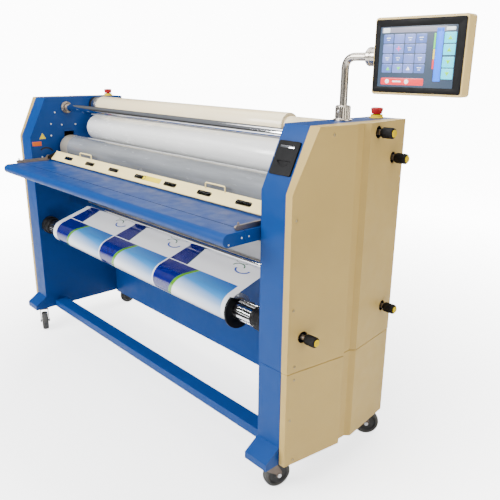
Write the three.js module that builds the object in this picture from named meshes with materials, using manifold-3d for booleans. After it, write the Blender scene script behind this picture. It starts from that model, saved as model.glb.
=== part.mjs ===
// Cold roll laminator, 1600 mm class, on four casters.
// Millimetres, +Z up. +X runs along the rollers to the operator panel's side,
// and -Y is the operator's side, where the infeed table is.
import * as THREE from 'three';
import { mergeVertices } from 'three/addons/utils/BufferGeometryUtils.js';
import Module from 'manifold-3d';

const wasm = await Module();
wasm.setup();

// ---------------------------------------------------------------------------
// Driving dimensions
// ---------------------------------------------------------------------------
const GAP = 0.3; // left between solids that touch
const OVER = 1; // how far a cutting tool runs past the face it cuts

// Side frames, seen from the side as (y, z)
const INNER_X = 850; // inner face of each side frame
const FRAME_X = 954; // outer edge of each side frame's shell
const INNER_WALL = 12; // bearing wall
const SHEET = 5; // folded shell around the bearing wall
const COLUMN_FRONT = 0;
const COLUMN_REAR = 541;
const TOWER_TOP = 1252;
const SLANT_FOOT = 1059; // where the sloping front begins
const SLANT_BACK = 95; // where it ends, at the tower's top
const FOOT_FRONT = -60;
const FOOT_REAR = 555;
const FOOT_BOTTOM = 125;
const FOOT_TIP = 151;
const FOOT_TOP = 190;

// Side covers: V-shaped in plan with an upright groove at the peak
const COVER_EDGE_X = 980;
const COVER_PEAK_X = 1015;
const COVER_REAR_X = 984;
const COVER_REAR = 545;
const COVER_SHEET = 4;
const GROOVE_FRONT = 245;
const GROOVE_REAR = 311;
const GROOVE_DEPTH = 15;
const GROOVE_DRAFT = 6; // slope of the groove's front side
const GROOVE_RUNOUT = 16; // slope of its rear side
const COVER_LAP = 5; // how far the covers reach over the side frame
const COVER_BEYOND = 10; // working margin around the covers
const SEAM = 475; // upper and lower cover part here
const SEAM_GAP = 2;
const KNOB_HOLE = 20;

// Rollers and rolls: axis (y, z) and radius
const NIP_ROLLER_RADIUS = 63;
const ROLLER_CORE = 50;
const ROLLER_JOURNAL = 20;
const ROLLER_HALF = 830;
const TOP_ROLLER = { y: 208, z: 999.5 };
const BOTTOM_ROLLER = { y: 208, z: 872.5 };
const FILM = { y: 352, z: 1095, radius: 66 };
const LINER = { y: 380, z: 1208, radius: 48 };
const MEDIA = { y: 60, z: 594, radius: 56 };
const IDLER = { y: 200, z: 719, radius: 19 };
const TENSION_BAR = { y: 208, z: 1202, radius: 19 };
const JOURNAL = 12;
const JOURNAL_CLEARANCE = 0.8;

// Webs
const WEB_THICKNESS = 0.8;
const PRINT_LEFT = -690;
const PRINT_RIGHT = 680;
const FILM_LEFT = -790;
const FILM_RIGHT = 800;
const FILM_WEB_LEFT = -748;
const FILM_WEB_RIGHT = 790;
const FILM_WEB_END_Y = 286;

// Members between the side frames, as [front, rear, bottom, top]
const FRONT_BAR = [50, 115, 123, 160];
const REAR_PANEL = [437, 472, 115, 580];
const MEMBER_SHEET = 3;

// Infeed table
const TABLE_HALF = 845;
const TABLE_TOP = 939;
const TABLE_THICKNESS = 43;
const TABLE_REAR = 100;
const TABLE_SEAM = -60;
const TABLE_NOSE = -150;
const TABLE_SHEET = 4;
const ARM_X = 826; // inner face of the arms that carry the guard
const ARM_WIDTH = 8;
const ARM_HEIGHT = 16;
const ARM_FRONT = -90;
const ARM_LUG = 13; // radius of the lug that holds the guard's pivot
const ARM_BOLT = { radius: 3.5, back: 14, proud: 9 };
const PIVOT_PIN = 4;

// Nip guard
const GUARD_PIVOT = { y: 77, z: 956 };
const GUARD_LOW = { y: 87, z: 946 };
const GUARD_HIGH = { y: 122, z: 985 };
const GUARD_THICKNESS = 2.5;
const GUARD_HALF = 822;
const GUARD_CORNER = 4;
const GUARD_SLOT_PITCH = 218;
const GUARD_SLOT = [78, 15];
const GUARD_SLOTS_EACH_SIDE = 3; // beside the one in the middle
const BRACKET_SHEET = 4;
const BRACKET_HEEL = 7; // from the pivot to the bracket's edge
const GUARD_HANDLES = [-502, 482];
const HANDLE_WIDTH = 118;
const HANDLE_RISE = 22;
const HANDLE_WIRE = 3; // radius
const HANDLE_BEND = 7;

// Operator panel on its bent tube, turned a little about the post
const POST = { x: 900, y: 310 };
const PANEL_AZIMUTH = 3;
const PANEL_AXIS_Z = 1448;
const TUBE_RADIUS = 12.5;
const TUBE_BEND = 38;
const PANEL_LEFT = 124; // from the post's axis to the housing's side
const PANEL_SIZE = [285, 50, 214];
const PANEL_FRONT = -38; // housing's front face from the post's axis
const CLAMP = { height: 48, radius: 25, flange: 31, flangeHeight: 5, chamfer: 3 };

// Controls
const ESTOP_X = 905;
const ESTOP_Y = 488;
const KNOBS = {
  liner: { y: 362, z: 1221 },
  film: { y: 473, z: 1129 },
  media: { y: MEDIA.y, z: MEDIA.z },
  rewind: { y: 480, z: 589 },
};
const KNOB_NECK = { radius: 9, length: 14, inside: 20 }; // length outside, and inside, the cover
const KNOB_GRIP = { radius: 17.5, length: 44 };
const KNOB_CAP = { radius: 12, proud: 3 };

// Casters
const CASTER_X = 900;
const CASTER_FRONT = 0;
const CASTER_REAR = 505;
const CASTER_TRAIL = 38;
const WHEEL_RADIUS = 50;
const WHEEL_WIDTH = 32;
const FORK_SHEET = 3;
const FORK_CLEARANCE = 3; // beside the wheel
const CROWN = { front: -20, rear: 24, bottom: 106, top: 116 };
const CASTERS = {
  front_left: { side: -1, y: CASTER_FRONT, heading: -20 },
  front_right: { side: 1, y: CASTER_FRONT, heading: 75 },
  rear_left: { side: -1, y: CASTER_REAR, heading: 100 },
  rear_right: { side: 1, y: CASTER_REAR, heading: 42 },
};

// Drive inside the right tower
const MOTOR = { y: 208, z: 640 };
const SPROCKET_X = 903;

// ---------------------------------------------------------------------------
// Materials
// ---------------------------------------------------------------------------
const finish = (color, roughness, metalness) =>
  new THREE.MeshStandardMaterial({ color, roughness, metalness });

const BLUE = finish(0x1f6fc0, 0.45, 0.1);
const CREAM = finish(0xd8c69a, 0.5, 0.1);
const IVORY = finish(0xf0e6c8, 0.45, 0.1);
const BLACK = finish(0x17181a, 0.5, 0);
const STEEL = finish(0x9a9a98, 0.35, 0.9);
const CHROME = finish(0xd8dadd, 0.08, 1);
const SILICONE = finish(0x8f9195, 0.3, 0);
const WHITE_FILM = finish(0xeeeeec, 0.25, 0);
const LINER_PAPER = finish(0xf6ecd2, 0.6, 0);
const PRINT = finish(0x7fb4dc, 0.25, 0);
const RED = finish(0xc01c1c, 0.35, 0);
const YELLOW = finish(0xf2c21a, 0.4, 0);
const LIGHT_GREY = finish(0xcfd2d2, 0.35, 0.4);
const DARK_GREY = finish(0x3c3f43, 0.5, 0.3);

// ---------------------------------------------------------------------------
// Shapes. An outline is a list of [a, b] points, anticlockwise.
// ---------------------------------------------------------------------------
const PIN_SIDES = 10;
const LUG_SIDES = 12;
const SHAFT_SIDES = 16;
const HUB_SIDES = 20;
const ROLL_SIDES = 32;

const shapeOf = (outline) => new THREE.Shape(outline.map(([a, b]) => new THREE.Vector2(a, b)));

const extrude = (shape, depth, curveSegments = 8) =>
  new THREE.ExtrudeGeometry(shape, { depth, bevelEnabled: false, curveSegments });

// (y, z) outline, extruded from x0 to x1
function alongX(shape, x0, x1) {
  const axes = new THREE.Matrix4().makeBasis(
    new THREE.Vector3(0, 1, 0),
    new THREE.Vector3(0, 0, 1),
    new THREE.Vector3(1, 0, 0),
  );
  return extrude(shape, x1 - x0).applyMatrix4(axes).translate(x0, 0, 0);
}

// (x, y) outline, extruded from z0 to z1
const alongZ = (shape, z0, z1) => extrude(shape, z1 - z0).translate(0, 0, z0);

const box = (x0, x1, y0, y1, z0, z1) =>
  new THREE.BoxGeometry(x1 - x0, y1 - y0, z1 - z0).translate(
    (x0 + x1) / 2,
    (y0 + y1) / 2,
    (z0 + z1) / 2,
  );

// [radius, height] profile turned about +Z
function turned(profile, sides = SHAFT_SIDES) {
  const points = profile.map(([radius, height]) => new THREE.Vector2(radius, height));
  return new THREE.LatheGeometry(points, sides).rotateX(Math.PI / 2);
}

// [radius, x] profile turned about +X
const turnedX = (profile, sides = SHAFT_SIDES) => turned(profile, sides).rotateY(Math.PI / 2);

const rod = (radius, z0, z1, sides = SHAFT_SIDES) =>
  turned([[0, z0], [radius, z0], [radius, z1], [0, z1]], sides);

const rodX = (radius, x0, x1, sides = SHAFT_SIDES) => rod(radius, x0, x1, sides).rotateY(Math.PI / 2);

const tubeX = (inner, outer, x0, x1, sides = SHAFT_SIDES) =>
  turnedX([[inner, x0], [outer, x0], [outer, x1], [inner, x1], [inner, x0]], sides);

const tube = (inner, outer, z0, z1, sides = SHAFT_SIDES) =>
  turned([[inner, z0], [outer, z0], [outer, z1], [inner, z1], [inner, z0]], sides);

function roundedRectangle(width, height, radius) {
  const [w, h, r] = [width / 2, height / 2, radius];
  const shape = new THREE.Shape();
  shape.absarc(w - r, h - r, r, 0, Math.PI / 2);
  shape.absarc(r - w, h - r, r, Math.PI / 2, Math.PI);
  shape.absarc(r - w, r - h, r, Math.PI, 1.5 * Math.PI);
  shape.absarc(w - r, r - h, r, 1.5 * Math.PI, 2 * Math.PI);
  return shape;
}

// Moves every edge of a convex-cornered outline inwards by a distance
function inset(outline, distance) {
  const count = outline.length;
  const edges = outline.map(([a, b], i) => {
    const [c, d] = outline[(i + 1) % count];
    const length = Math.hypot(c - a, d - b);
    const normal = [-(d - b) / length, (c - a) / length];
    return { normal, offset: normal[0] * a + normal[1] * b + distance };
  });
  return edges.map((edge, i) => {
    const before = edges[(i + count - 1) % count];
    const [p, q] = before.normal;
    const [r, s] = edge.normal;
    const scale = p * s - q * r;
    return [
      (before.offset * s - edge.offset * q) / scale,
      (edge.offset * p - before.offset * r) / scale,
    ];
  });
}

// An open path thickened to both sides, as an outline
function ribbon(path, thickness) {
  const half = thickness / 2;
  const side = (sign) =>
    path.map(([a, b], i) => {
      const [c, d] = path[Math.max(i - 1, 0)];
      const [e, f] = path[Math.min(i + 1, path.length - 1)];
      const length = Math.hypot(e - c, f - d);
      return [a + (sign * half * (f - d)) / length, b - (sign * half * (e - c)) / length];
    });
  return [...side(1), ...side(-1).reverse()];
}

// Points on a circle about (y, z), from one angle to another, in degrees
function arc(centre, radius, from, to, steps) {
  return Array.from({ length: steps + 1 }, (_, i) => {
    const angle = THREE.MathUtils.degToRad(from + ((to - from) * i) / steps);
    return [centre.y + radius * Math.cos(angle), centre.z + radius * Math.sin(angle)];
  });
}

// ---------------------------------------------------------------------------
// Joining and cutting
// ---------------------------------------------------------------------------
function solid(geometry) {
  const bare = geometry.clone();
  bare.deleteAttribute('normal');
  bare.deleteAttribute('uv');
  const merged = mergeVertices(bare, 1e-3);
  const corners = [];
  const index = merged.index.array;
  for (let i = 0; i < index.length; i += 3) {
    const [a, b, c] = index.slice(i, i + 3);
    if (a !== b && b !== c && c !== a) corners.push(a, b, c);
  }
  return new wasm.Manifold(
    new wasm.Mesh({
      numProp: 3,
      vertProperties: new Float32Array(merged.attributes.position.array),
      triVerts: new Uint32Array(corners),
    }),
  );
}

function geometryOf(body) {
  const mesh = body.getMesh();
  const geometry = new THREE.BufferGeometry();
  geometry.setAttribute('position', new THREE.BufferAttribute(mesh.vertProperties, 3));
  geometry.setIndex(new THREE.BufferAttribute(mesh.triVerts, 1));
  return geometry;
}

const joined = (...parts) =>
  geometryOf(parts.map(solid).reduce((whole, part) => whole.add(part)));

const cut = (body, ...tools) =>
  geometryOf(tools.map(solid).reduce((left, tool) => left.subtract(tool), solid(body)));

const common = (first, second) => geometryOf(solid(first).intersect(solid(second)));

// ---------------------------------------------------------------------------
// Assembly helpers
// ---------------------------------------------------------------------------
const group = new THREE.Group();

function place(name, geometry, material, position = [0, 0, 0], parent = group) {
  const mesh = new THREE.Mesh(geometry, material);
  mesh.name = name;
  mesh.position.set(...position);
  parent.add(mesh);
  return mesh;
}

const SIDES = { left: -1, right: 1 };

// A stretch measured outwards from the middle, on either side
const across = (side, near, far) => (side > 0 ? [near, far] : [-far, -near]);

// ---------------------------------------------------------------------------
// Side frames and covers
// ---------------------------------------------------------------------------
const FRAME_OUTLINE = [
  [FOOT_FRONT, FOOT_BOTTOM],
  [FOOT_REAR, FOOT_BOTTOM],
  [FOOT_REAR, FOOT_TIP],
  [COLUMN_REAR, FOOT_TOP],
  [COLUMN_REAR, TOWER_TOP],
  [SLANT_BACK, TOWER_TOP],
  [COLUMN_FRONT, SLANT_FOOT],
  [COLUMN_FRONT, FOOT_TOP],
  [FOOT_FRONT, FOOT_TIP],
];

const LIFT_SLOT = { y0: 185, y1: 241, z0: 955, z1: 1080 };
const SEAM_DEPTH = 1.5; // the seam's line goes on round the column's front

// A shell that is open outwards behind the covers, with closed feet before and behind them
function sideFrame(side) {
  const [x0, x1] = across(side, INNER_X, FRAME_X);
  const [c0, c1] = across(side, INNER_X + INNER_WALL, FRAME_X - SHEET);
  const [m0, m1] = across(side, FRAME_X - SHEET - OVER, FRAME_X + OVER);
  const [w0, w1] = across(side, INNER_X - OVER, INNER_X + INNER_WALL + OVER);
  const inside = shapeOf(inset(FRAME_OUTLINE, SHEET));
  const hole = (axis, radius) =>
    rodX(radius + JOURNAL_CLEARANCE, w0, w1).translate(0, axis.y, axis.z);
  return cut(
    alongX(shapeOf(FRAME_OUTLINE), x0, x1),
    alongX(inside, c0, c1),
    common(
      alongX(inside, m0, m1),
      box(m0, m1, COLUMN_FRONT + SHEET, COLUMN_REAR - SHEET, 0, TOWER_TOP),
    ),
    box(w0, w1, LIFT_SLOT.y0, LIFT_SLOT.y1, LIFT_SLOT.z0, LIFT_SLOT.z1),
    box(x0 - OVER, x1 + OVER, -OVER, SEAM_DEPTH, SEAM - SEAM_GAP / 2, SEAM + SEAM_GAP / 2),
    hole(BOTTOM_ROLLER, ROLLER_JOURNAL),
    hole(FILM, JOURNAL),
    hole(LINER, JOURNAL),
    hole(IDLER, JOURNAL),
    hole(TENSION_BAR, JOURNAL),
  );
}

// Plan of the cover's outer face at a distance inside it, as an (x, y) outline
function coverPlan(side, depth) {
  const face = [
    [COVER_EDGE_X - depth, COLUMN_FRONT - OVER],
    [COVER_PEAK_X - depth, GROOVE_FRONT - depth / 2],
    [COVER_PEAK_X - GROOVE_DEPTH - depth, GROOVE_FRONT + GROOVE_DRAFT - depth],
    [COVER_PEAK_X - GROOVE_DEPTH - depth, GROOVE_REAR - GROOVE_RUNOUT + depth],
    [COVER_PEAK_X - depth, GROOVE_REAR + depth / 2],
    [COVER_REAR_X - depth, COVER_REAR + OVER],
  ];
  const inner = FRAME_X - COVER_LAP;
  const outline = [[inner, COLUMN_FRONT - OVER], ...face, [inner, COVER_REAR + OVER]];
  return shapeOf(side > 0 ? outline : outline.map(([x, y]) => [-x, y]).reverse());
}

// A pan with a closed outer face and turned-in edges, open towards the frame
function cover(side, outline) {
  const [o0, o1] = across(side, FRAME_X + GAP, COVER_PEAK_X + COVER_BEYOND);
  const [i0, i1] = across(side, FRAME_X - OVER, COVER_PEAK_X + COVER_BEYOND);
  const bottom = FOOT_BOTTOM - COVER_BEYOND;
  const top = TOWER_TOP + COVER_BEYOND;
  const outer = common(
    alongX(shapeOf(outline), o0, o1),
    alongZ(coverPlan(side, 0), bottom, top),
  );
  const hollow = common(
    alongX(shapeOf(inset(outline, COVER_SHEET)), i0, i1),
    alongZ(coverPlan(side, COVER_SHEET), bottom, top),
  );
  return cut(outer, hollow);
}

const UPPER_OUTLINE = [
  [COLUMN_FRONT, SEAM + SEAM_GAP / 2],
  [COVER_REAR, SEAM + SEAM_GAP / 2],
  [COVER_REAR, TOWER_TOP],
  [SLANT_BACK, TOWER_TOP],
  [COLUMN_FRONT, SLANT_FOOT],
];

const LOWER_OUTLINE = [
  [COLUMN_FRONT, FOOT_BOTTOM],
  [COVER_REAR, FOOT_BOTTOM],
  [COVER_REAR, SEAM - SEAM_GAP / 2],
  [COLUMN_FRONT, SEAM - SEAM_GAP / 2],
];

function upperCover(side) {
  const plain = cover(side, UPPER_OUTLINE);
  if (side < 0) return plain;
  const holes = Object.values(KNOBS).map(({ y, z }) =>
    rodX(KNOB_HOLE, FRAME_X - COVER_LAP, COVER_PEAK_X + COVER_BEYOND).translate(0, y, z),
  );
  return cut(plain, ...holes);
}

for (const [label, side] of Object.entries(SIDES)) {
  place(`${label}_side_frame`, sideFrame(side), BLUE);
  place(`${label}_cover_upper`, upperCover(side), CREAM);
  place(`${label}_cover_lower`, cover(side, LOWER_OUTLINE), CREAM);
}

// ---------------------------------------------------------------------------
// Cross members
// ---------------------------------------------------------------------------
const CROSS_HALF = INNER_X - GAP;

// A square tube
function frontCrossBar() {
  const [front, rear, bottom, top] = FRONT_BAR;
  const wall = MEMBER_SHEET;
  return cut(
    box(-CROSS_HALF, CROSS_HALF, front, rear, bottom, top),
    box(-INNER_X, INNER_X, front + wall, rear - wall, bottom + wall, top - wall),
  );
}

// A folded channel, open to the rear
function rearCrossPanel() {
  const [front, rear, bottom, top] = REAR_PANEL;
  const wall = MEMBER_SHEET;
  return cut(
    box(-CROSS_HALF, CROSS_HALF, front, rear, bottom, top),
    box(-INNER_X, INNER_X, front + wall, rear + OVER, bottom + wall, top - wall),
  );
}

place('front_cross_bar', frontCrossBar(), BLUE);
place('rear_cross_panel', rearCrossPanel(), BLUE);

// ---------------------------------------------------------------------------
// Infeed table
// ---------------------------------------------------------------------------
const TABLE_BOTTOM = TABLE_TOP - TABLE_THICKNESS;
const SEAM_HALF = 0.5; // half the gap between the deck and the flap

function tableDeck() {
  const [front, rear] = [TABLE_SEAM + SEAM_HALF, TABLE_REAR];
  return cut(
    box(-TABLE_HALF, TABLE_HALF, front, rear, TABLE_BOTTOM, TABLE_TOP),
    box(
      TABLE_SHEET - TABLE_HALF,
      TABLE_HALF - TABLE_SHEET,
      front + TABLE_SHEET,
      rear - TABLE_SHEET,
      TABLE_BOTTOM - OVER,
      TABLE_TOP - TABLE_SHEET,
    ),
  );
}

// Bull-nosed flap, hollow from below
function tableFlap() {
  const radius = TABLE_THICKNESS / 2;
  const nose = TABLE_NOSE + radius;
  const rear = TABLE_SEAM - SEAM_HALF;
  const profile = new THREE.Shape();
  profile.moveTo(rear, TABLE_BOTTOM);
  profile.lineTo(rear, TABLE_TOP);
  profile.lineTo(nose, TABLE_TOP);
  profile.absarc(nose, TABLE_BOTTOM + radius, radius, Math.PI / 2, 1.5 * Math.PI);
  return cut(
    alongX(profile, -TABLE_HALF, TABLE_HALF),
    box(
      TABLE_SHEET - TABLE_HALF,
      TABLE_HALF - TABLE_SHEET,
      nose,
      rear - TABLE_SHEET,
      TABLE_BOTTOM - OVER,
      TABLE_TOP - TABLE_SHEET,
    ),
  );
}

// Flat bar on the table's end: rounded front, a bolt stub, and the guard's pivot lug
function tableArm(side) {
  const [x0, x1] = across(side, ARM_X, ARM_X + ARM_WIDTH);
  const bottom = TABLE_TOP + SEAM_HALF;
  const top = bottom + ARM_HEIGHT;
  const round = ARM_HEIGHT / 2;
  const bar = new THREE.Shape();
  bar.moveTo(GUARD_PIVOT.y, bottom);
  bar.lineTo(GUARD_PIVOT.y, top);
  bar.absarc(ARM_FRONT + round, bottom + round, round, Math.PI / 2, 1.5 * Math.PI);
  const atPivot = (geometry) => geometry.translate(0, GUARD_PIVOT.y, GUARD_PIVOT.z);
  return cut(
    joined(
      alongX(bar, x0, x1),
      atPivot(rodX(ARM_LUG, x0, x1, LUG_SIDES)),
      rod(ARM_BOLT.radius, bottom + round, top + ARM_BOLT.proud, PIN_SIDES)
        .translate((x0 + x1) / 2, ARM_FRONT + ARM_BOLT.back, 0),
    ),
    atPivot(rodX(PIVOT_PIN + JOURNAL_CLEARANCE, x0 - OVER, x1 + OVER, PIN_SIDES)),
  );
}

place('table_deck', tableDeck(), BLUE);
place('table_flap', tableFlap(), BLUE);
for (const [label, side] of Object.entries(SIDES)) {
  place(`table_arm_${label}`, tableArm(side), STEEL);
}

// ---------------------------------------------------------------------------
// Nip guard: a tilted strip with finger-safe slots, two wire handles and end brackets
// ---------------------------------------------------------------------------
function guardStrip() {
  const length = 2 * GUARD_HALF;
  const [run, rise] = [GUARD_HIGH.y - GUARD_LOW.y, GUARD_HIGH.z - GUARD_LOW.z];
  const height = Math.hypot(run, rise);
  const strip = roundedRectangle(length, height, GUARD_CORNER);
  for (let i = -GUARD_SLOTS_EACH_SIDE; i <= GUARD_SLOTS_EACH_SIDE; i += 1) {
    const slot = roundedRectangle(...GUARD_SLOT, GUARD_SLOT[1] / 2 - 1);
    const hole = slot.getPoints(1).map((p) => p.add(new THREE.Vector2(i * GUARD_SLOT_PITCH, 0)));
    strip.holes.push(new THREE.Path(hole));
  }
  return extrude(strip, GUARD_THICKNESS, 4)
    .translate(0, 0, -GUARD_THICKNESS / 2)
    .rotateX(Math.atan2(rise, run))
    .translate(0, (GUARD_LOW.y + GUARD_HIGH.y) / 2, (GUARD_LOW.z + GUARD_HIGH.z) / 2);
}

function guardBracket(side) {
  const [x0, x1] = across(side, GUARD_HALF - BRACKET_SHEET, GUARD_HALF);
  const [p0, p1] = across(side, GUARD_HALF - BRACKET_SHEET / 2, ARM_X + ARM_WIDTH);
  const plate = shapeOf([
    [GUARD_PIVOT.y - BRACKET_HEEL, GUARD_PIVOT.z - BRACKET_HEEL + 2],
    [GUARD_LOW.y, GUARD_LOW.z],
    [GUARD_HIGH.y, GUARD_HIGH.z],
    [GUARD_PIVOT.y - BRACKET_HEEL + 3, GUARD_PIVOT.z + BRACKET_HEEL],
  ]);
  return joined(
    alongX(plate, x0, x1),
    rodX(PIVOT_PIN, p0, p1, PIN_SIDES - 2).translate(0, GUARD_PIVOT.y, GUARD_PIVOT.z),
  );
}

function wireHandle(x) {
  const half = HANDLE_WIDTH / 2 - HANDLE_WIRE;
  const foot = GUARD_HIGH.z - HANDLE_WIRE - 1;
  const top = GUARD_HIGH.z + HANDLE_RISE - HANDLE_WIRE;
  const y = GUARD_HIGH.y - HANDLE_WIRE;
  const bend = HANDLE_BEND;
  const path = new THREE.CurvePath();
  const point = (dx, z) => new THREE.Vector3(x + dx, y, z);
  path.add(new THREE.LineCurve3(point(-half, foot), point(-half, top - bend)));
  path.add(
    new THREE.QuadraticBezierCurve3(
      point(-half, top - bend), point(-half, top), point(bend - half, top),
    ),
  );
  path.add(new THREE.LineCurve3(point(bend - half, top), point(half - bend, top)));
  path.add(
    new THREE.QuadraticBezierCurve3(
      point(half - bend, top), point(half, top), point(half, top - bend),
    ),
  );
  path.add(new THREE.LineCurve3(point(half, top - bend), point(half, foot)));
  return swept(path, HANDLE_WIRE, 18, 6);
}

// A round bar along a path
function swept(path, radius, steps, sides) {
  const section = shapeOf(
    Array.from({ length: sides }, (_, i) => {
      const angle = (2 * Math.PI * i) / sides;
      return [radius * Math.cos(angle), radius * Math.sin(angle)];
    }),
  );
  return new THREE.ExtrudeGeometry(section, { steps, extrudePath: path, bevelEnabled: false });
}

place(
  'nip_guard',
  joined(guardStrip(), guardBracket(-1), guardBracket(1), ...GUARD_HANDLES.map(wireHandle)),
  IVORY,
);

// ---------------------------------------------------------------------------
// Nip rollers and their lift
// ---------------------------------------------------------------------------
const JOURNAL_END = INNER_X + 30;
const DRIVE_STUB = 10; // shaft from the sprocket's inner face to its end
const LIFT_BLOCK = { width: 24, half: 42, play: 0.5 };
const ROLLER_SPROCKET = { teeth: 20, radius: 52, width: 6 };
const MOTOR_SPROCKET = { teeth: 12, radius: 28, width: 6 };

const rollerProfile = (left, right) => [
  [0, left],
  [ROLLER_JOURNAL, left],
  [ROLLER_JOURNAL, -ROLLER_HALF],
  [ROLLER_CORE, -ROLLER_HALF],
  [ROLLER_CORE, ROLLER_HALF],
  [ROLLER_JOURNAL, ROLLER_HALF],
  [ROLLER_JOURNAL, right],
  [0, right],
];

const sleeve = () =>
  tubeX(ROLLER_CORE + GAP, NIP_ROLLER_RADIUS, -ROLLER_HALF, ROLLER_HALF, ROLL_SIDES);

// Toothed wheel across X, with tooth tips at the radius
function sprocket({ teeth, radius, width }) {
  const root = radius - 5;
  const outline = Array.from({ length: teeth }, (_, i) => {
    const turn = (k) => (2 * Math.PI * (i + k)) / teeth;
    return [[root, 0], [root, 0.3], [radius, 0.5], [root, 0.7]].map(([r, k]) => [
      r * Math.cos(turn(k)),
      r * Math.sin(turn(k)),
    ]);
  }).flat();
  return alongX(shapeOf(outline), SPROCKET_X, SPROCKET_X + width);
}

// Bearing block that slides up and down in the side frame's slot
function liftBlock(side) {
  const [x0, x1] = across(side, INNER_X + 1, INNER_X + LIFT_BLOCK.width);
  const { play, half } = LIFT_BLOCK;
  return cut(
    box(x0, x1, LIFT_SLOT.y0 + play, LIFT_SLOT.y1 - play, TOP_ROLLER.z - half, TOP_ROLLER.z + half),
    rodX(ROLLER_JOURNAL + JOURNAL_CLEARANCE, x0 - OVER, x1 + OVER)
      .translate(0, TOP_ROLLER.y, TOP_ROLLER.z),
  );
}

const topAxis = [0, TOP_ROLLER.y, TOP_ROLLER.z];
const bottomAxis = [0, BOTTOM_ROLLER.y, BOTTOM_ROLLER.z];
place('top_roller_shaft', turnedX(rollerProfile(-JOURNAL_END, JOURNAL_END)), STEEL, topAxis);
place('top_roller_sleeve', sleeve(), SILICONE, topAxis);
place(
  'bottom_roller_shaft',
  joined(
    turnedX(rollerProfile(-JOURNAL_END, SPROCKET_X + DRIVE_STUB)),
    sprocket(ROLLER_SPROCKET),
  ),
  STEEL,
  bottomAxis,
);
place('bottom_roller_sleeve', sleeve(), SILICONE, bottomAxis);
for (const [label, side] of Object.entries(SIDES)) {
  place(`lift_block_${label}`, liftBlock(side), DARK_GREY);
}

// ---------------------------------------------------------------------------
// Idlers, unwind and rewind shafts, rolls
// ---------------------------------------------------------------------------
const WALL_END = INNER_X + INNER_WALL;

// A bar between the side frames with a journal at each end
const idler = (radius, half) =>
  turnedX([
    [0, -WALL_END],
    [JOURNAL, -WALL_END],
    [JOURNAL, -half],
    [radius, -half],
    [radius, half],
    [JOURNAL, half],
    [JOURNAL, WALL_END],
    [0, WALL_END],
  ]);

const AXIAL_PLAY = 2; // between a roller's end and the side frame

function barFlange(side) {
  const [outer, thickness] = [30, 12];
  const [x0, x1] = across(side, INNER_X - thickness, INNER_X - GAP);
  return tubeX(TENSION_BAR.radius + JOURNAL_CLEARANCE, outer, x0, x1, HUB_SIDES);
}

place('tension_bar', idler(TENSION_BAR.radius, INNER_X - AXIAL_PLAY), CHROME,
  [0, TENSION_BAR.y, TENSION_BAR.z]);
for (const [label, side] of Object.entries(SIDES)) {
  place(`tension_bar_flange_${label}`, barFlange(side), CHROME,
    [0, TENSION_BAR.y, TENSION_BAR.z]);
}
place('lower_idler', idler(IDLER.radius, INNER_X - AXIAL_PLAY), CHROME, [0, IDLER.y, IDLER.z]);

const FILM_CORE = 38;
const FILM_SHAFT_PLAY = 20;
const filmAxis = [0, FILM.y, FILM.z];
place('film_shaft', idler(FILM_CORE, INNER_X - FILM_SHAFT_PLAY), STEEL, filmAxis);
place(
  'film_roll',
  tubeX(FILM_CORE + GAP, FILM.radius, FILM_LEFT, FILM_RIGHT, ROLL_SIDES),
  WHITE_FILM,
  filmAxis,
);

// The liner shaft carries a round hub, a cone against the roll, the paper core and a collar
const LINER_CORE = 36;
const LINER_LEFT = -765;
const LINER_RIGHT = 600;
const LINER_HUB = { radius: 44, width: 18 };
const LINER_CONE = { root: 38, radius: 45, rise: 6, flat: -795 };
const LINER_END = { radius: 20, shoulder: 6 };
const LINER_COLLAR = { radius: 40, width: 12 };

function linerShaft() {
  const end = INNER_X - AXIAL_PLAY;
  const hub = LINER_HUB.width - end;
  const collar = end - LINER_COLLAR.width;
  return turnedX([
    [0, -WALL_END],
    [JOURNAL, -WALL_END],
    [JOURNAL, -end],
    [LINER_HUB.radius, -end],
    [LINER_HUB.radius, hub],
    [LINER_CONE.root, hub],
    [LINER_CONE.radius, hub + LINER_CONE.rise],
    [LINER_CONE.radius, LINER_CONE.flat],
    [LINER_CORE, LINER_LEFT - GAP],
    [LINER_CORE, FILM_RIGHT],
    [LINER_END.radius, FILM_RIGHT + LINER_END.shoulder],
    [LINER_END.radius, collar],
    [LINER_COLLAR.radius, collar],
    [LINER_COLLAR.radius, end],
    [JOURNAL, end],
    [JOURNAL, WALL_END],
    [0, WALL_END],
  ]);
}
const linerAxis = [0, LINER.y, LINER.z];
place('liner_shaft', linerShaft(), LIGHT_GREY, linerAxis);
place(
  'liner_roll',
  tubeX(LINER_CORE + GAP, LINER.radius, LINER_LEFT, LINER_RIGHT, ROLL_SIDES),
  LINER_PAPER,
  linerAxis,
);

// The printed media's shaft, for three-inch cores, runs in a chuck on each side frame
const MEDIA_SHAFT = 37;
const MEDIA_SHAFT_END = INNER_X - 10;
const MEDIA_FLANGE = { radius: 70, thickness: 10, chord: 34, chordAngle: 65 };
const CHUCK = { x: 787, radius: 42, rim: 46, rimWidth: 30 };
const mediaAxis = [0, MEDIA.y, MEDIA.z];

function mediaShaft() {
  return turnedX([
    [0, -MEDIA_SHAFT_END],
    [JOURNAL, -MEDIA_SHAFT_END],
    [JOURNAL, -CHUCK.x],
    [MEDIA_SHAFT, -CHUCK.x],
    [MEDIA_SHAFT, CHUCK.x],
    [JOURNAL, CHUCK.x],
    [JOURNAL, MEDIA_SHAFT_END],
    [0, MEDIA_SHAFT_END],
  ], HUB_SIDES);
}

// Round plate cut straight across beside the shaft, so that it looks like a D from the end
function mediaFlange() {
  const { radius, thickness, chord, chordAngle } = MEDIA_FLANGE;
  const [x0, x1] = [PRINT_RIGHT + GAP, PRINT_RIGHT + thickness];
  return cut(
    tubeX(MEDIA_SHAFT + GAP, radius, x0, x1, ROLL_SIDES),
    box(x0 - OVER, x1 + OVER, chord, radius + OVER, -radius, radius)
      .rotateX(THREE.MathUtils.degToRad(chordAngle)),
  );
}

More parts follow.
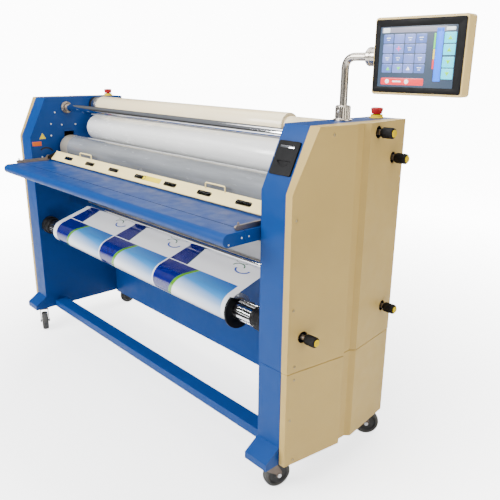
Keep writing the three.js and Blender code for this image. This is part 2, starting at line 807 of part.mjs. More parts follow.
function mediaChuck(side) {
  const bore = JOURNAL + JOURNAL_CLEARANCE;
  const end = INNER_X - GAP;
  return joined(
    tubeX(bore, CHUCK.radius, ...across(side, CHUCK.x + 1, end), HUB_SIDES),
    tubeX(bore, CHUCK.rim, ...across(side, INNER_X - CHUCK.rimWidth, end), HUB_SIDES),
  );
}

place('media_shaft', mediaShaft(), CHROME, mediaAxis);
place(
  'media_roll',
  tubeX(MEDIA_SHAFT + GAP, MEDIA.radius, PRINT_LEFT, PRINT_RIGHT, ROLL_SIDES),
  PRINT,
  mediaAxis,
);
place('media_flange', mediaFlange(), BLACK, mediaAxis);
for (const [label, side] of Object.entries(SIDES)) {
  place(`media_chuck_${label}`, mediaChuck(side), BLACK, mediaAxis);
}

// ---------------------------------------------------------------------------
// Webs
// ---------------------------------------------------------------------------
const WEB_RIDE = GAP + 0.1 + WEB_THICKNESS / 2; // web's middle above the roller it rides on

// Angle of the straight web's contact with two circles that it passes between
function crossedContact(from, fromRadius, to, toRadius) {
  const distance = Math.hypot(to.y - from.y, to.z - from.z);
  const along = Math.atan2(to.z - from.z, to.y - from.y);
  return THREE.MathUtils.radToDeg(along + Math.acos((fromRadius + toRadius) / distance));
}

// Film: off the underside of the supply roll, over the top roller's front, to the nip
function filmWeb() {
  const ride = NIP_ROLLER_RADIUS + WEB_RIDE;
  const contact = crossedContact(TOP_ROLLER, ride, FILM, FILM.radius + WEB_RIDE);
  const wrap = arc(TOP_ROLLER, ride, contact, 250, 24);
  const angle = THREE.MathUtils.degToRad(contact - 90);
  const run = (FILM_WEB_END_Y - wrap[0][0]) / Math.cos(angle);
  const end = [FILM_WEB_END_Y, wrap[0][1] + run * Math.sin(angle)];
  return alongX(shapeOf(ribbon([end, ...wrap], WEB_THICKNESS)), FILM_WEB_LEFT, FILM_WEB_RIGHT);
}

// Print: from the nip's rear down round the bottom roller and the idler to the roll
function printedWeb() {
  const onRoller = NIP_ROLLER_RADIUS + WEB_RIDE;
  const onIdler = IDLER.radius + WEB_RIDE;
  const onRoll = MEDIA.radius + WEB_RIDE;
  const rollContact = crossedContact(MEDIA, onRoll, IDLER, onIdler);
  const distance = Math.hypot(BOTTOM_ROLLER.y - IDLER.y, BOTTOM_ROLLER.z - IDLER.z);
  const lean = Math.atan2(BOTTOM_ROLLER.y - IDLER.y, BOTTOM_ROLLER.z - IDLER.z);
  const rearContact = -THREE.MathUtils.radToDeg(
    Math.asin((onRoller - onIdler) / distance) + lean,
  );
  const path = [
    ...arc(BOTTOM_ROLLER, onRoller, 72, rearContact, 14),
    ...arc(IDLER, onIdler, rearContact, rollContact - 180, 6),
    ...arc(MEDIA, onRoll, rollContact, rollContact + 6, 1),
  ];
  const inwards = ribbon(path, WEB_THICKNESS).reverse();
  return alongX(shapeOf(inwards), PRINT_LEFT, PRINT_RIGHT);
}

place('film_web', filmWeb(), WHITE_FILM);
place('printed_web', printedWeb(), PRINT);

// ---------------------------------------------------------------------------
// Brake knobs: neck through the cover, ribbed grip, coloured cap
// ---------------------------------------------------------------------------
// How far out the right cover's face stands at a depth y
function coverFaceX(y) {
  const part =
    y < GROOVE_FRONT ? y / GROOVE_FRONT : (COVER_REAR - y) / (COVER_REAR - GROOVE_REAR);
  return COVER_EDGE_X + (COVER_PEAK_X - COVER_EDGE_X) * part;
}

function brakeKnob(faceX) {
  const start = FRAME_X - KNOB_NECK.inside;
  const near = faceX + KNOB_NECK.length;
  const far = near + KNOB_GRIP.length;
  return turnedX(
    [
      [0, start],
      [KNOB_NECK.radius, start],
      [KNOB_NECK.radius, near],
      [KNOB_GRIP.radius, near],
      [KNOB_GRIP.radius, far],
      [KNOB_CAP.radius, far],
      [KNOB_CAP.radius, far + KNOB_CAP.proud],
      [0, far + KNOB_CAP.proud],
    ],
    HUB_SIDES,
  );
}

for (const [label, { y, z }] of Object.entries(KNOBS)) {
  place(`brake_knob_${label}`, brakeKnob(coverFaceX(y)), BLACK, [0, y, z]);
}

// ---------------------------------------------------------------------------
// Operator panel
// ---------------------------------------------------------------------------
const operator = new THREE.Group();
operator.position.set(POST.x, POST.y, 0);
operator.rotation.z = THREE.MathUtils.degToRad(PANEL_AZIMUTH);
group.add(operator);

const COLLAR = { x0: 84, x1: 120, radius: 28 };
const STUB_RADIUS = 12;

function panelClamp() {
  const base = TOWER_TOP + GAP;
  const bore = TUBE_RADIUS + JOURNAL_CLEARANCE;
  const { height, radius, flange, flangeHeight, chamfer } = CLAMP;
  return turned(
    [
      [bore, base],
      [flange, base],
      [flange, base + flangeHeight],
      [radius, base + flangeHeight + 2],
      [radius, base + height - chamfer],
      [radius - chamfer, base + height],
      [bore, base + height],
      [bore, base],
    ],
    HUB_SIDES,
  );
}

function panelArm() {
  const point = (x, z) => new THREE.Vector3(x, 0, z);
  const foot = TOWER_TOP + 4;
  const bendStart = PANEL_AXIS_Z - TUBE_BEND;
  const path = new THREE.CurvePath();
  path.add(new THREE.LineCurve3(point(0, foot), point(0, bendStart)));
  const quarter = 0.5523; // handle length that makes a cubic follow a quarter circle
  path.add(
    new THREE.CubicBezierCurve3(
      point(0, bendStart),
      point(0, bendStart + quarter * TUBE_BEND),
      point(TUBE_BEND * (1 - quarter), PANEL_AXIS_Z),
      point(TUBE_BEND, PANEL_AXIS_Z),
    ),
  );
  path.add(
    new THREE.LineCurve3(point(TUBE_BEND, PANEL_AXIS_Z), point(COLLAR.x0 - GAP, PANEL_AXIS_Z)),
  );
  return swept(path, TUBE_RADIUS, 14, SHAFT_SIDES);
}

function tiltCollar() {
  const bore = STUB_RADIUS + JOURNAL_CLEARANCE;
  const { x0, x1, radius } = COLLAR;
  return turnedX(
    [
      [bore, x0],
      [radius - 5, x0],
      [radius, x0 + 5],
      [radius, x1],
      [bore, x1],
      [bore, x0],
    ],
    HUB_SIDES,
  );
}

const SCREEN = { width: 266, height: 196, depth: 4 };

function panelHousing() {
  const [width, depth, height] = PANEL_SIZE;
  const [front, middle] = [PANEL_FRONT, PANEL_LEFT + width / 2];
  const upright = (shape, y0, y1) =>
    extrude(shape, y1 - y0, 2).rotateX(Math.PI / 2).translate(middle, y1, 0);
  return joined(
    cut(
      upright(roundedRectangle(width, height, 8), front, front + depth),
      upright(roundedRectangle(SCREEN.width + 1, SCREEN.height + 1, 4.5), front - 1,
        front + SCREEN.depth),
    ),
    rodX(STUB_RADIUS, COLLAR.x0 + 8, PANEL_LEFT + 1),
  );
}

function touchPanel() {
  return extrude(roundedRectangle(SCREEN.width, SCREEN.height, 4), SCREEN.depth, 2)
    .rotateX(Math.PI / 2)
    .translate(PANEL_LEFT + PANEL_SIZE[0] / 2, PANEL_FRONT + SCREEN.depth - GAP, 0);
}

const tiltAxis = [0, 0, PANEL_AXIS_Z];
place('hmi_clamp', panelClamp(), STEEL, [0, 0, 0], operator);
place('hmi_arm', panelArm(), STEEL, [0, 0, 0], operator);
place('hmi_tilt_collar', tiltCollar(), STEEL, tiltAxis, operator);
place('hmi_housing', panelHousing(), IVORY, tiltAxis, operator);
place('hmi_touch_panel', touchPanel(), BLACK, tiltAxis, operator);

// ---------------------------------------------------------------------------
// Emergency stops and the control panel on the right tower's slope
// ---------------------------------------------------------------------------
const STEM_RADIUS = 10;
const STOP_BASE = { radius: 25, rim: 22, flange: 4, height: 12, well: 19.5, floor: 7 };
const STOP_HEAD = { foot: 17, radius: 21, bottom: 14, top: 35, stemBottom: 6 };

// A flared collar with a well that the button goes down into
function stopBase() {
  const bore = STEM_RADIUS + JOURNAL_CLEARANCE;
  const { radius, rim, flange, height, well, floor } = STOP_BASE;
  return turned(
    [
      [bore, 0],
      [radius, 0],
      [radius, flange],
      [rim, height],
      [well, height],
      [well, floor],
      [bore, floor],
      [bore, 0],
    ],
    HUB_SIDES,
  );
}

// A mushroom head that widens upwards from its foot, with a rounded top
function stopButton() {
  const { foot, radius, bottom, top, stemBottom } = STOP_HEAD;
  return turned(
    [
      [0, stemBottom],
      [STEM_RADIUS, stemBottom],
      [STEM_RADIUS, bottom],
      [foot, bottom],
      [radius - 2, bottom + 6],
      [radius, top - 6],
      [radius - 1, top - 2],
      [radius - 6, top],
      [0, top + 0.5],
    ],
    HUB_SIDES,
  );
}

for (const [label, side] of Object.entries(SIDES)) {
  const foot = [side * ESTOP_X, ESTOP_Y, TOWER_TOP + GAP];
  place(`estop_base_${label}`, stopBase(), YELLOW, foot);
  place(`estop_button_${label}`, stopButton(), RED, foot);
}

const SLOPE_MIDDLE = 53.5; // middle of the slanted front, out from the inner wall

// Plate in the slope's plane: x across, y up the slope, z out of it
const slope = new THREE.Group();
slope.position.set(INNER_X + SLOPE_MIDDLE, COLUMN_FRONT, SLANT_FOOT);
slope.rotation.x = Math.atan2(TOWER_TOP - SLANT_FOOT, SLANT_BACK - COLUMN_FRONT);
group.add(slope);

const CONTROL_PANEL = { size: [87, 108, 6], corner: 5, upSlope: 107 };
const FINGER_PULL = { radius: 30, centre: 4, from: 1.15, to: 1.85 }; // angles in half turns

function controlPanel() {
  const [width, height, depth] = CONTROL_PANEL.size;
  const { radius, centre, from, to } = FINGER_PULL;
  const pull = new THREE.Shape();
  pull.absarc(0, centre, radius, Math.PI * from, Math.PI * to);
  return cut(
    extrude(roundedRectangle(width, height, CONTROL_PANEL.corner), depth, 1),
    extrude(pull, depth).translate(0, 0, depth / 2),
  );
}

place('control_panel', controlPanel(), BLACK, [0, CONTROL_PANEL.upSlope, GAP], slope);

// ---------------------------------------------------------------------------
// Casters: fork with its axle, and wheel
// ---------------------------------------------------------------------------
const AXLE_RADIUS = 5;
const AXLE_PROUD = 4;
const KINGPIN_RADIUS = 6;
const SWIVEL = { plate: 6, plateRadius: 30, raceRadius: 22 };
const FORK_LEG = { lean: 4, shoulder: 30, half: 10, below: 8, above: 14 };
const TYRE_ROUND = 5;

// The wheel trails along +X, and rolls about Y
function casterFork() {
  const top = FOOT_BOTTOM - GAP;
  const { plate, plateRadius, raceRadius } = SWIVEL;
  const inner = WHEEL_WIDTH / 2 + FORK_CLEARANCE;
  const outer = inner + FORK_SHEET;
  const leg = shapeOf([
    [CROWN.front, CROWN.top],
    [CROWN.front + FORK_LEG.lean, CROWN.top - FORK_LEG.shoulder],
    [CASTER_TRAIL - FORK_LEG.half, WHEEL_RADIUS - FORK_LEG.below],
    [CASTER_TRAIL + FORK_LEG.half, WHEEL_RADIUS - FORK_LEG.below],
    [CASTER_TRAIL + FORK_LEG.half, WHEEL_RADIUS + FORK_LEG.above],
    [CROWN.rear, CROWN.top],
  ]);
  const upright = (y0, y1) =>
    extrude(leg, y1 - y0).rotateX(Math.PI / 2).translate(0, y1, 0);
  return joined(
    tube(KINGPIN_RADIUS, plateRadius, top - plate, top, LUG_SIDES),
    tube(KINGPIN_RADIUS, raceRadius, CROWN.top - OVER, top - plate + OVER, LUG_SIDES),
    box(CROWN.front, CROWN.rear, -outer, outer, CROWN.bottom, CROWN.top),
    upright(-outer, -inner),
    upright(inner, outer),
    rod(AXLE_RADIUS, -outer - AXLE_PROUD, outer + AXLE_PROUD, PIN_SIDES)
      .rotateX(Math.PI / 2)
      .translate(CASTER_TRAIL, 0, WHEEL_RADIUS),
  );
}

function casterWheel() {
  const [half, round] = [WHEEL_WIDTH / 2, TYRE_ROUND];
  const bore = AXLE_RADIUS + JOURNAL_CLEARANCE;
  return turned(
    [
      [bore, -half],
      [WHEEL_RADIUS - round, -half],
      [WHEEL_RADIUS, round - half],
      [WHEEL_RADIUS, half - round],
      [WHEEL_RADIUS - round, half],
      [bore, half],
      [bore, -half],
    ],
    ROLL_SIDES,
  ).rotateX(Math.PI / 2);
}

for (const [label, { side, y, heading }] of Object.entries(CASTERS)) {
  const caster = new THREE.Group();
  caster.position.set(side * CASTER_X, y, 0);
  caster.rotation.z = THREE.MathUtils.degToRad(heading);
  group.add(caster);
  place(`caster_fork_${label}`, casterFork(), DARK_GREY, [0, 0, 0], caster);
  place(`caster_wheel_${label}`, casterWheel(), BLACK, [CASTER_TRAIL, 0, WHEEL_RADIUS], caster);
}

// ---------------------------------------------------------------------------
// Drive in the right tower, and the mains inlet on its rear
// ---------------------------------------------------------------------------
const GEARBOX = { half: 40, high: 44, depth: 34, overlap: 10 };
const MOTOR_SHAFT = 9;
const MOTOR_CAN = { radius: 36, drop: 220 }; // drop is from the sprocket's axis to the can's foot

function driveMotor() {
  const mount = INNER_X + INNER_WALL + GAP;
  const { half, high, depth } = GEARBOX;
  return joined(
    box(mount, mount + depth, MOTOR.y - half, MOTOR.y + half, MOTOR.z - high, MOTOR.z + high),
    rod(MOTOR_CAN.radius, MOTOR.z - MOTOR_CAN.drop, MOTOR.z - high + GEARBOX.overlap)
      .translate(mount + MOTOR_CAN.radius + 2, MOTOR.y, 0),
  );
}

const motorSprocket = () =>
  joined(
    rodX(MOTOR_SHAFT, INNER_X + INNER_WALL + GEARBOX.depth + 2, SPROCKET_X + MOTOR_SPROCKET.width * 2),
    sprocket(MOTOR_SPROCKET),
  );

const INLET = { x: 905, z: 240, width: 48, height: 58, depth: 8, corner: 5 };
const INLET_SOCKET = { width: 27, height: 20, corner: 3, floor: 2 };

function mainsInlet() {
  const { width, height, depth, corner } = INLET;
  const shell = roundedRectangle(width, height, corner);
  const socket = roundedRectangle(INLET_SOCKET.width, INLET_SOCKET.height, INLET_SOCKET.corner);
  const outwards = (shape, length) => extrude(shape, length, 1).rotateX(-Math.PI / 2);
  return cut(
    outwards(shell, depth),
    outwards(socket, depth).translate(0, INLET_SOCKET.floor, 0),
  );
}

place('drive_motor', driveMotor(), DARK_GREY);
place('motor_sprocket', motorSprocket(), STEEL, [0, MOTOR.y, MOTOR.z]);
place('mains_inlet', mainsInlet(), BLACK, [INLET.x, COLUMN_REAR + GAP, INLET.z]);

// ---------------------------------------------------------------------------
// Origin: on the floor, under the middle of the whole machine
// ---------------------------------------------------------------------------
const bounds = new THREE.Box3().setFromObject(group);
const middle = bounds.getCenter(new THREE.Vector3());
group.position.set(-middle.x, -middle.y, -bounds.min.z);

export default group;
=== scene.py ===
"""Looks of the cold roll laminator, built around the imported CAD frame."""

import math

import bmesh
import bpy
from mathutils import Matrix, Vector


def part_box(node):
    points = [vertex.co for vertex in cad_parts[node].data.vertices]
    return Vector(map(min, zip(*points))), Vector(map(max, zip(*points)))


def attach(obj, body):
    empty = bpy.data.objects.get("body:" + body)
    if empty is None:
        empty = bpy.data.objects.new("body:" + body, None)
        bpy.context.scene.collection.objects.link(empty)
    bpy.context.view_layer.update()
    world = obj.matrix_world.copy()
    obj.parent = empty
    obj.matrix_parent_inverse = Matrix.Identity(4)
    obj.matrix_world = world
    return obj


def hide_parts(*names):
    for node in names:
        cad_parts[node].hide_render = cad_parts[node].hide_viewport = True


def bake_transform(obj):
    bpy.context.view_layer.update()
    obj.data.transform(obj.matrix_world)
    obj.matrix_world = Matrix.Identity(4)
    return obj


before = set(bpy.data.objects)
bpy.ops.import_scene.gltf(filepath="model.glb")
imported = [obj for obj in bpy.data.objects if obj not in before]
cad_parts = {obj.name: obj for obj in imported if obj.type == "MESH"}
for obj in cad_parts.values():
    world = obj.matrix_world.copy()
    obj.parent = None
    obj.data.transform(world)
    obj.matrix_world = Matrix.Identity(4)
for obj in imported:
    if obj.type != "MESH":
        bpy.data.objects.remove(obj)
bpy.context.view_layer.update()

MM = 0.001
INNER_X, FOOT_FRONT, FOOT_BOTTOM = 850, -60, 125  # right side frame's lowest corner, machine mm
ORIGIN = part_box("right_side_frame")[0] - Vector((INNER_X, FOOT_FRONT, FOOT_BOTTOM)) * MM
SIDES = {"left": -1, "right": 1}


def at(x, y, z):
    """Machine millimetres to the frame's metres."""
    return ORIGIN + Vector((x, y, z)) * MM


def middle(node):
    low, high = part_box(node)
    return (low + high) / 2


def axis_centre(node):
    """Middle of a turned node, moved along its axis to the machine's middle plane."""
    centre = middle(node)
    centre.x = ORIGIN.x
    return centre


# ---------------------------------------------------------------------------
# Mesh making
# ---------------------------------------------------------------------------
def add_object(name, mesh, material=None, smooth=True, sharp=32):
    obj = bpy.data.objects.new(name, mesh)
    bpy.context.scene.collection.objects.link(obj)
    if smooth:
        mesh.polygons.foreach_set("use_smooth", [True] * len(mesh.polygons))
        mesh.set_sharp_from_angle(angle=math.radians(sharp))
    if material:
        mesh.materials.append(material)
    return obj


def mesh_object(name, vertices, faces, material=None, **shading):
    mesh = bpy.data.meshes.new(name)
    mesh.from_pydata([tuple(v) for v in vertices], [], faces)
    mesh.validate()
    bm = bmesh.new()
    bm.from_mesh(mesh)
    bmesh.ops.recalc_face_normals(bm, faces=bm.faces)
    bm.to_mesh(mesh)
    bm.free()
    return add_object(name, mesh, material, **shading)


def axis_matrix(centre, direction):
    """Local +Z to the direction, placed at the centre."""
    turn = Vector(direction).to_track_quat("Z", "Y").to_matrix().to_4x4()
    return Matrix.Translation(centre) @ turn


def lathe(name, profile, centre, direction, material, sides=64, ripple=None, sharp=32):
    """Turns a closed [(radius, height)] profile, in mm, about an axis. Radius 0 closes on it.

    ripple(radius, angle) may change the radius, for ribs and flutes.
    """
    place = axis_matrix(centre, direction)
    vertices, rings = [], []
    for radius, height in profile:
        if radius == 0:
            rings.append([len(vertices)] * sides)
            vertices.append(place @ Vector((0, 0, height * MM)))
            continue
        ring = []
        for i in range(sides):
            angle = 2 * math.pi * i / sides
            r = ripple(radius, angle) if ripple else radius
            ring.append(len(vertices))
            vertices.append(
                place @ Vector((r * MM * math.cos(angle), r * MM * math.sin(angle), height * MM))
            )
        rings.append(ring)
    faces = []
    closed = profile[0][0] != 0
    pairs = list(zip(rings, rings[1:])) + ([(rings[-1], rings[0])] if closed else [])
    for lower, upper in pairs:
        for i in range(sides):
            j = (i + 1) % sides
            corners = [lower[i], lower[j], upper[j], upper[i]]
            face = [c for k, c in enumerate(corners) if c != corners[k - 1]]
            if len(face) > 2:
                faces.append(face)
    return mesh_object(name, vertices, faces, material, sharp=sharp)


def softened(points, radius, steps=3):
    """Rounds the corners of a closed or axis-to-axis profile."""
    count = len(points)
    closed = points[0][0] != 0
    result = []
    for i, here in enumerate(points):
        if not closed and i in (0, count - 1):
            result.append(here)
            continue
        before, after = Vector(points[i - 1]), Vector(points[(i + 1) % count])
        corner = Vector(here)
        reach = min(radius, (before - corner).length * 0.45, (after - corner).length * 0.45)
        start = corner + (before - corner).normalized() * reach
        end = corner + (after - corner).normalized() * reach
        for k in range(steps + 1):
            t = k / steps
            spot = start * (1 - t) ** 2 + corner * 2 * t * (1 - t) + end * t**2
            result.append(tuple(spot))
    return result


def sweep(name, points, radius, material, sides=20):
    """Round bar along a list of points in metres, with closed ends."""
    points = [Vector(p) for p in points]
    tangents = [
        (points[min(i + 1, len(points) - 1)] - points[max(i - 1, 0)]).normalized()
        for i in range(len(points))
    ]
    normal = tangents[0].orthogonal().normalized()
    vertices, faces = [], []
    for i, (point, tangent) in enumerate(zip(points, tangents)):
        normal = (normal - tangent * normal.dot(tangent)).normalized()
        other = tangent.cross(normal)
        for k in range(sides):
            angle = 2 * math.pi * k / sides
            vertices.append(
                point + (normal * math.cos(angle) + other * math.sin(angle)) * radius * MM
            )
        if i:
            base = (i - 1) * sides
            for k in range(sides):
                j = (k + 1) % sides
                faces.append([base + k, base + j, base + sides + j, base + sides + k])
    faces.append(list(range(sides)))
    faces.append(list(range(len(vertices) - sides, len(vertices))))
    return mesh_object(name, vertices, faces, material)


def bend_points(corners, radius, steps=8):
    """A polyline through corner points, rounded at each inner corner by a quadratic curve."""
    corners = [Vector(c) for c in corners]
    result = [corners[0]]
    for before, corner, after in zip(corners, corners[1:], corners[2:]):
        start = corner + (before - corner).normalized() * radius * MM
        end = corner + (after - corner).normalized() * radius * MM
        for k in range(steps + 1):
            t = k / steps
            result.append(start * (1 - t) ** 2 + corner * 2 * t * (1 - t) + end * t**2)
    result.append(corners[-1])
    return result


def rounded_outline(width, height, radius, steps=6):
    """Anticlockwise rounded rectangle about the origin, in mm."""
    corners = [
        (width / 2 - radius, height / 2 - radius, 0),
        (radius - width / 2, height / 2 - radius, 90),
        (radius - width / 2, radius - height / 2, 180),
        (width / 2 - radius, radius - height / 2, 270),
    ]
    points = []
    for a, b, start in corners:
        for k in range(steps + 1):
            angle = math.radians(start + 90 * k / steps)
            points.append((a + radius * math.cos(angle), b + radius * math.sin(angle)))
    return points


def circle_outline(radius, steps=40, centre=(0, 0)):
    return [
        (
            centre[0] + radius * math.cos(2 * math.pi * k / steps),
            centre[1] + radius * math.sin(2 * math.pi * k / steps),
        )
        for k in range(steps)
    ]


def plate(name, outlines, thickness, place, material, bevel=0.4):
    """Flat plate from outlines in mm (holes inside the first), from 0 up to its thickness."""
    curve = bpy.data.curves.new(name, "CURVE")
    curve.dimensions = "2D"
    curve.fill_mode = "BOTH"
    bevel = min(bevel, thickness * 0.4)
    curve.extrude = (thickness / 2 - bevel) * MM
    curve.bevel_depth = bevel * MM
    curve.bevel_resolution = 1
    curve.offset = -bevel * MM
    for outline in outlines:
        spline = curve.splines.new("POLY")
        spline.points.add(len(outline) - 1)
        for point, (a, b) in zip(spline.points, outline):
            point.co = (a * MM, b * MM, 0, 1)
        spline.use_cyclic_u = True
    holder = bpy.data.objects.new(name, curve)
    bpy.context.scene.collection.objects.link(holder)
    graph = bpy.context.evaluated_depsgraph_get()
    mesh = bpy.data.meshes.new_from_object(holder.evaluated_get(graph))
    bpy.data.objects.remove(holder)
    mesh.name = name
    mesh.materials.clear()
    mesh.transform(place @ Matrix.Translation((0, 0, thickness / 2 * MM)))
    bm = bmesh.new()
    bm.from_mesh(mesh)
    bmesh.ops.remove_doubles(bm, verts=bm.verts, dist=1e-6)
    bmesh.ops.recalc_face_normals(bm, faces=bm.faces)
    bm.to_mesh(mesh)
    bm.free()
    return add_object(name, mesh, material)


def frame_at(centre, across, up):
    """Matrix with local X across, local Y up and local Z out of the face."""
    across, up = Vector(across).normalized(), Vector(up).normalized()
    out = across.cross(up)
    turn = Matrix((across, up, out)).transposed().to_4x4()
    return Matrix.Translation(centre) @ turn


def side_plane(x, side=1):
    """Matrix with local X along the machine's Y, local Y up and local Z towards the given side."""
    turn = Matrix(((0, 0, side, 0), (1, 0, 0, 0), (0, 1, 0, 0), (0, 0, 0, 1)))
    return Matrix.Translation(at(x, 0, 0)) @ turn


def rounded_box(name, low, high, radius, material, segments=3):
    bm = bmesh.new()
    bmesh.ops.create_cube(bm, size=1)
    low, high = Vector(low), Vector(high)
    for v in bm.verts:
        v.co = low + Vector((v.co[i] + 0.5) * (high - low)[i] for i in range(3))
    bmesh.ops.bevel(
        bm, geom=list(bm.edges), offset=radius * MM, segments=segments, profile=0.5,
        affect="EDGES",
    )
    mesh = bpy.data.meshes.new(name)
    bm.to_mesh(mesh)
    bm.free()
    return add_object(name, mesh, material)


def joined(name, objects):
    """One object from several, keeping their materials."""
    graph = bpy.context.evaluated_depsgraph_get()
    bm = bmesh.new()
    materials = []
    for obj in objects:
        mesh = bpy.data.meshes.new_from_object(obj.evaluated_get(graph))
        mesh.transform(obj.matrix_world)
        slots = []
        for material in mesh.materials:
            if material not in materials:
                materials.append(material)
            slots.append(materials.index(material))
        for polygon in mesh.polygons:
            polygon.material_index = slots[polygon.material_index] if slots else 0
        bm.from_mesh(mesh)
        bpy.data.meshes.remove(mesh)
        bpy.data.objects.remove(obj)
    mesh = bpy.data.meshes.new(name)
    bm.to_mesh(mesh)
    bm.free()
    for material in materials:
        mesh.materials.append(material)
    return add_object(name, mesh)


def finish_piece(obj, body, slot, *replaced):
    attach(obj, body)
    if replaced:
        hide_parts(*replaced)
    return obj


# ---------------------------------------------------------------------------
# Materials
# ---------------------------------------------------------------------------
def srgb(r, g, b):
    def linear(c):
        c /= 255
        return c / 12.92 if c <= 0.04045 else ((c + 0.055) / 1.055) ** 2.4

    return (linear(r), linear(g), linear(b), 1)


class Shader:
    """A Principled material and short calls to add nodes to it."""

    def __init__(self, name, roughness=0.5, metallic=0.0, **inputs):
        self.material = bpy.data.materials.new(name)
        self.material.use_nodes = True
        self.tree = self.material.node_tree
        self.bsdf = self.tree.nodes["Principled BSDF"]
        self.bsdf.inputs["Roughness"].default_value = roughness
        self.bsdf.inputs["Metallic"].default_value = metallic
        for key, value in inputs.items():
            self.bsdf.inputs[key.replace("_", " ")].default_value = value

    def node(self, kind, settings=None, **inputs):
        node = self.tree.nodes.new(kind)
        for key, value in (settings or {}).items():
            setattr(node, key, value)
        for key, value in inputs.items():
            self.feed(node.inputs[key.replace("_", " ")], value)
        return node

    def feed(self, socket, value):
        if isinstance(value, bpy.types.NodeSocket):
            self.tree.links.new(value, socket)
        else:
            socket.default_value = value

    def coordinates(self, scale=(1, 1, 1)):
        source = self.node("ShaderNodeTexCoord").outputs["Object"]
        mapping = self.node("ShaderNodeMapping", Vector=source)
        mapping.inputs["Scale"].default_value = scale
        return mapping.outputs["Vector"]

    def noise(self, scale, detail=3.0, roughness=0.5, stretch=(1, 1, 1)):
        node = self.node(
            "ShaderNodeTexNoise", Vector=self.coordinates(stretch), Scale=scale,
            Detail=detail, Roughness=roughness,
        )
        return node.outputs["Fac"]

    def ramp(self, factor, stops):
        node = self.node("ShaderNodeValToRGB", Fac=factor)
        elements = node.color_ramp.elements
        while len(elements) < len(stops):
            elements.new(0.5)
        for element, (position, colour) in zip(elements, stops):
            element.position = position
            element.color = colour
        return node.outputs["Color"]

    def span(self, value, low, high, source=(0.3, 0.7)):
        node = self.node(
            "ShaderNodeMapRange", Value=value, From_Min=source[0], From_Max=source[1],
            To_Min=low, To_Max=high,
        )
        return node.outputs["Result"]

    def maths(self, operation, *values):
        node = self.tree.nodes.new("ShaderNodeMath")
        node.operation = operation
        for socket, value in zip(node.inputs, values):
            self.feed(socket, value)
        return node.outputs[0]

    def mix(self, factor, first, second):
        node = self.tree.nodes.new("ShaderNodeMix")
        node.data_type = "RGBA"
        self.feed(node.inputs[0], factor)
        self.feed(node.inputs[6], first)
        self.feed(node.inputs[7], second)
        return node.outputs[2]

    def bump(self, height, strength, distance=0.001):
        node = self.node("ShaderNodeBump", Height=height, Strength=strength, Distance=distance)
        self.feed(self.bsdf.inputs["Normal"], node.outputs["Normal"])

    def colour(self, value):
        self.feed(self.bsdf.inputs["Base Color"], value)

    def rough(self, value):
        self.feed(self.bsdf.inputs["Roughness"], value)


def shade(colour, factor):
    return (*(min(1, c * factor) for c in colour[:3]), 1)


def paint(name, colour, roughness=0.42, grime=0.88, peel=0.12, shine=0.35):
    """Powder coat: faint mottling, orange peel and patches of dust."""
    s = Shader(name, roughness=roughness, Specular_IOR_Level=shine, Coat_Weight=0.02,
               Coat_Roughness=0.3)
    mottle = s.ramp(
        s.noise(5.0, 4.0), [(0.3, shade(colour, 0.95)), (0.7, shade(colour, 1.04))]
    )
    smudge = s.noise(1.7, 6.0, 0.65, (1, 1, 2.5))
    s.colour(s.mix(s.span(smudge, 0.0, 0.5, (0.56, 0.78)), mottle, shade(colour, grime)))
    s.rough(s.span(s.noise(22.0, 4.0), roughness - 0.05, roughness + 0.08))
    s.bump(s.noise(420.0, 2.0), peel, 0.0004)
    return s.material


def plastic(name, colour, roughness=0.4, grain=300.0, depth=0.15, **inputs):
    s = Shader(name, roughness=roughness, **inputs)
    s.colour(
        s.ramp(s.noise(18.0, 4.0), [(0.3, shade(colour, 0.85)), (0.7, shade(colour, 1.12))])
    )
    s.rough(s.span(s.noise(45.0, 3.0), roughness - 0.06, roughness + 0.1))
    s.bump(s.noise(grain, 2.0), depth, 0.0005)
    return s.material


def metal(name, colour, roughness, stretch=(2, 60, 60), scale=40.0, vary=0.06, depth=0.03):
    """Turned or drawn metal: fine lines along the stretched direction."""
    s = Shader(name, roughness=roughness, metallic=1.0)
    lines = s.noise(scale, 3.0, 0.6, stretch)
    s.colour(s.ramp(lines, [(0.3, shade(colour, 0.9)), (0.7, shade(colour, 1.05))]))
    s.rough(s.span(lines, roughness, roughness + vary))
    s.bump(lines, depth, 0.0002)
    return s.material


BLUE = paint("blue_powder_coat", srgb(0, 54, 118), roughness=0.38, shine=0.2)
CREAM = paint("cream_powder_coat", srgb(180, 152, 86), roughness=0.5, grime=0.93)
IVORY = paint("ivory_powder_coat", srgb(250, 228, 160), roughness=0.45, grime=0.94)
CHROME = metal("hard_chrome", (0.86, 0.86, 0.88), 0.05, vary=0.05, depth=0.01)
GROUND_STEEL = metal("ground_steel", (0.56, 0.56, 0.57), 0.24)
SATIN_STEEL = metal("satin_steel", (0.66, 0.64, 0.61), 0.2, (60, 60, 3))
ARM_STEEL = metal("bronzed_steel", (0.30, 0.25, 0.21), 0.34)
TUBE_STEEL = metal("brushed_stainless_tube", (0.58, 0.53, 0.46), 0.2, (2, 2, 60))
CAST = plastic("dark_casting", (0.035, 0.036, 0.04, 1), 0.5, 160.0, 0.3, Metallic=0.6)
BLACK = plastic("black_moulding", (0.003, 0.003, 0.0035, 1), 0.5, Specular_IOR_Level=0.15)
SATIN_BLACK = plastic("satin_black_shell", (0.003, 0.003, 0.0035, 1), 0.5, Specular_IOR_Level=0.15)
RUBBER = plastic("tyre_rubber", (0.05, 0.049, 0.046, 1), 0.7, 220.0, 0.4)
WHEEL_DISC = plastic("wheel_disc_black", (0.014, 0.014, 0.015, 1), 0.5)
YELLOW = plastic("yellow_moulding", srgb(206, 176, 0), 0.6, Specular_IOR_Level=0.1)
RED = plastic("red_moulding", srgb(168, 2, 8), 0.4)
HOUSING = paint("panel_housing_coat", srgb(222, 192, 124), roughness=0.42, grime=0.95, peel=0.08)
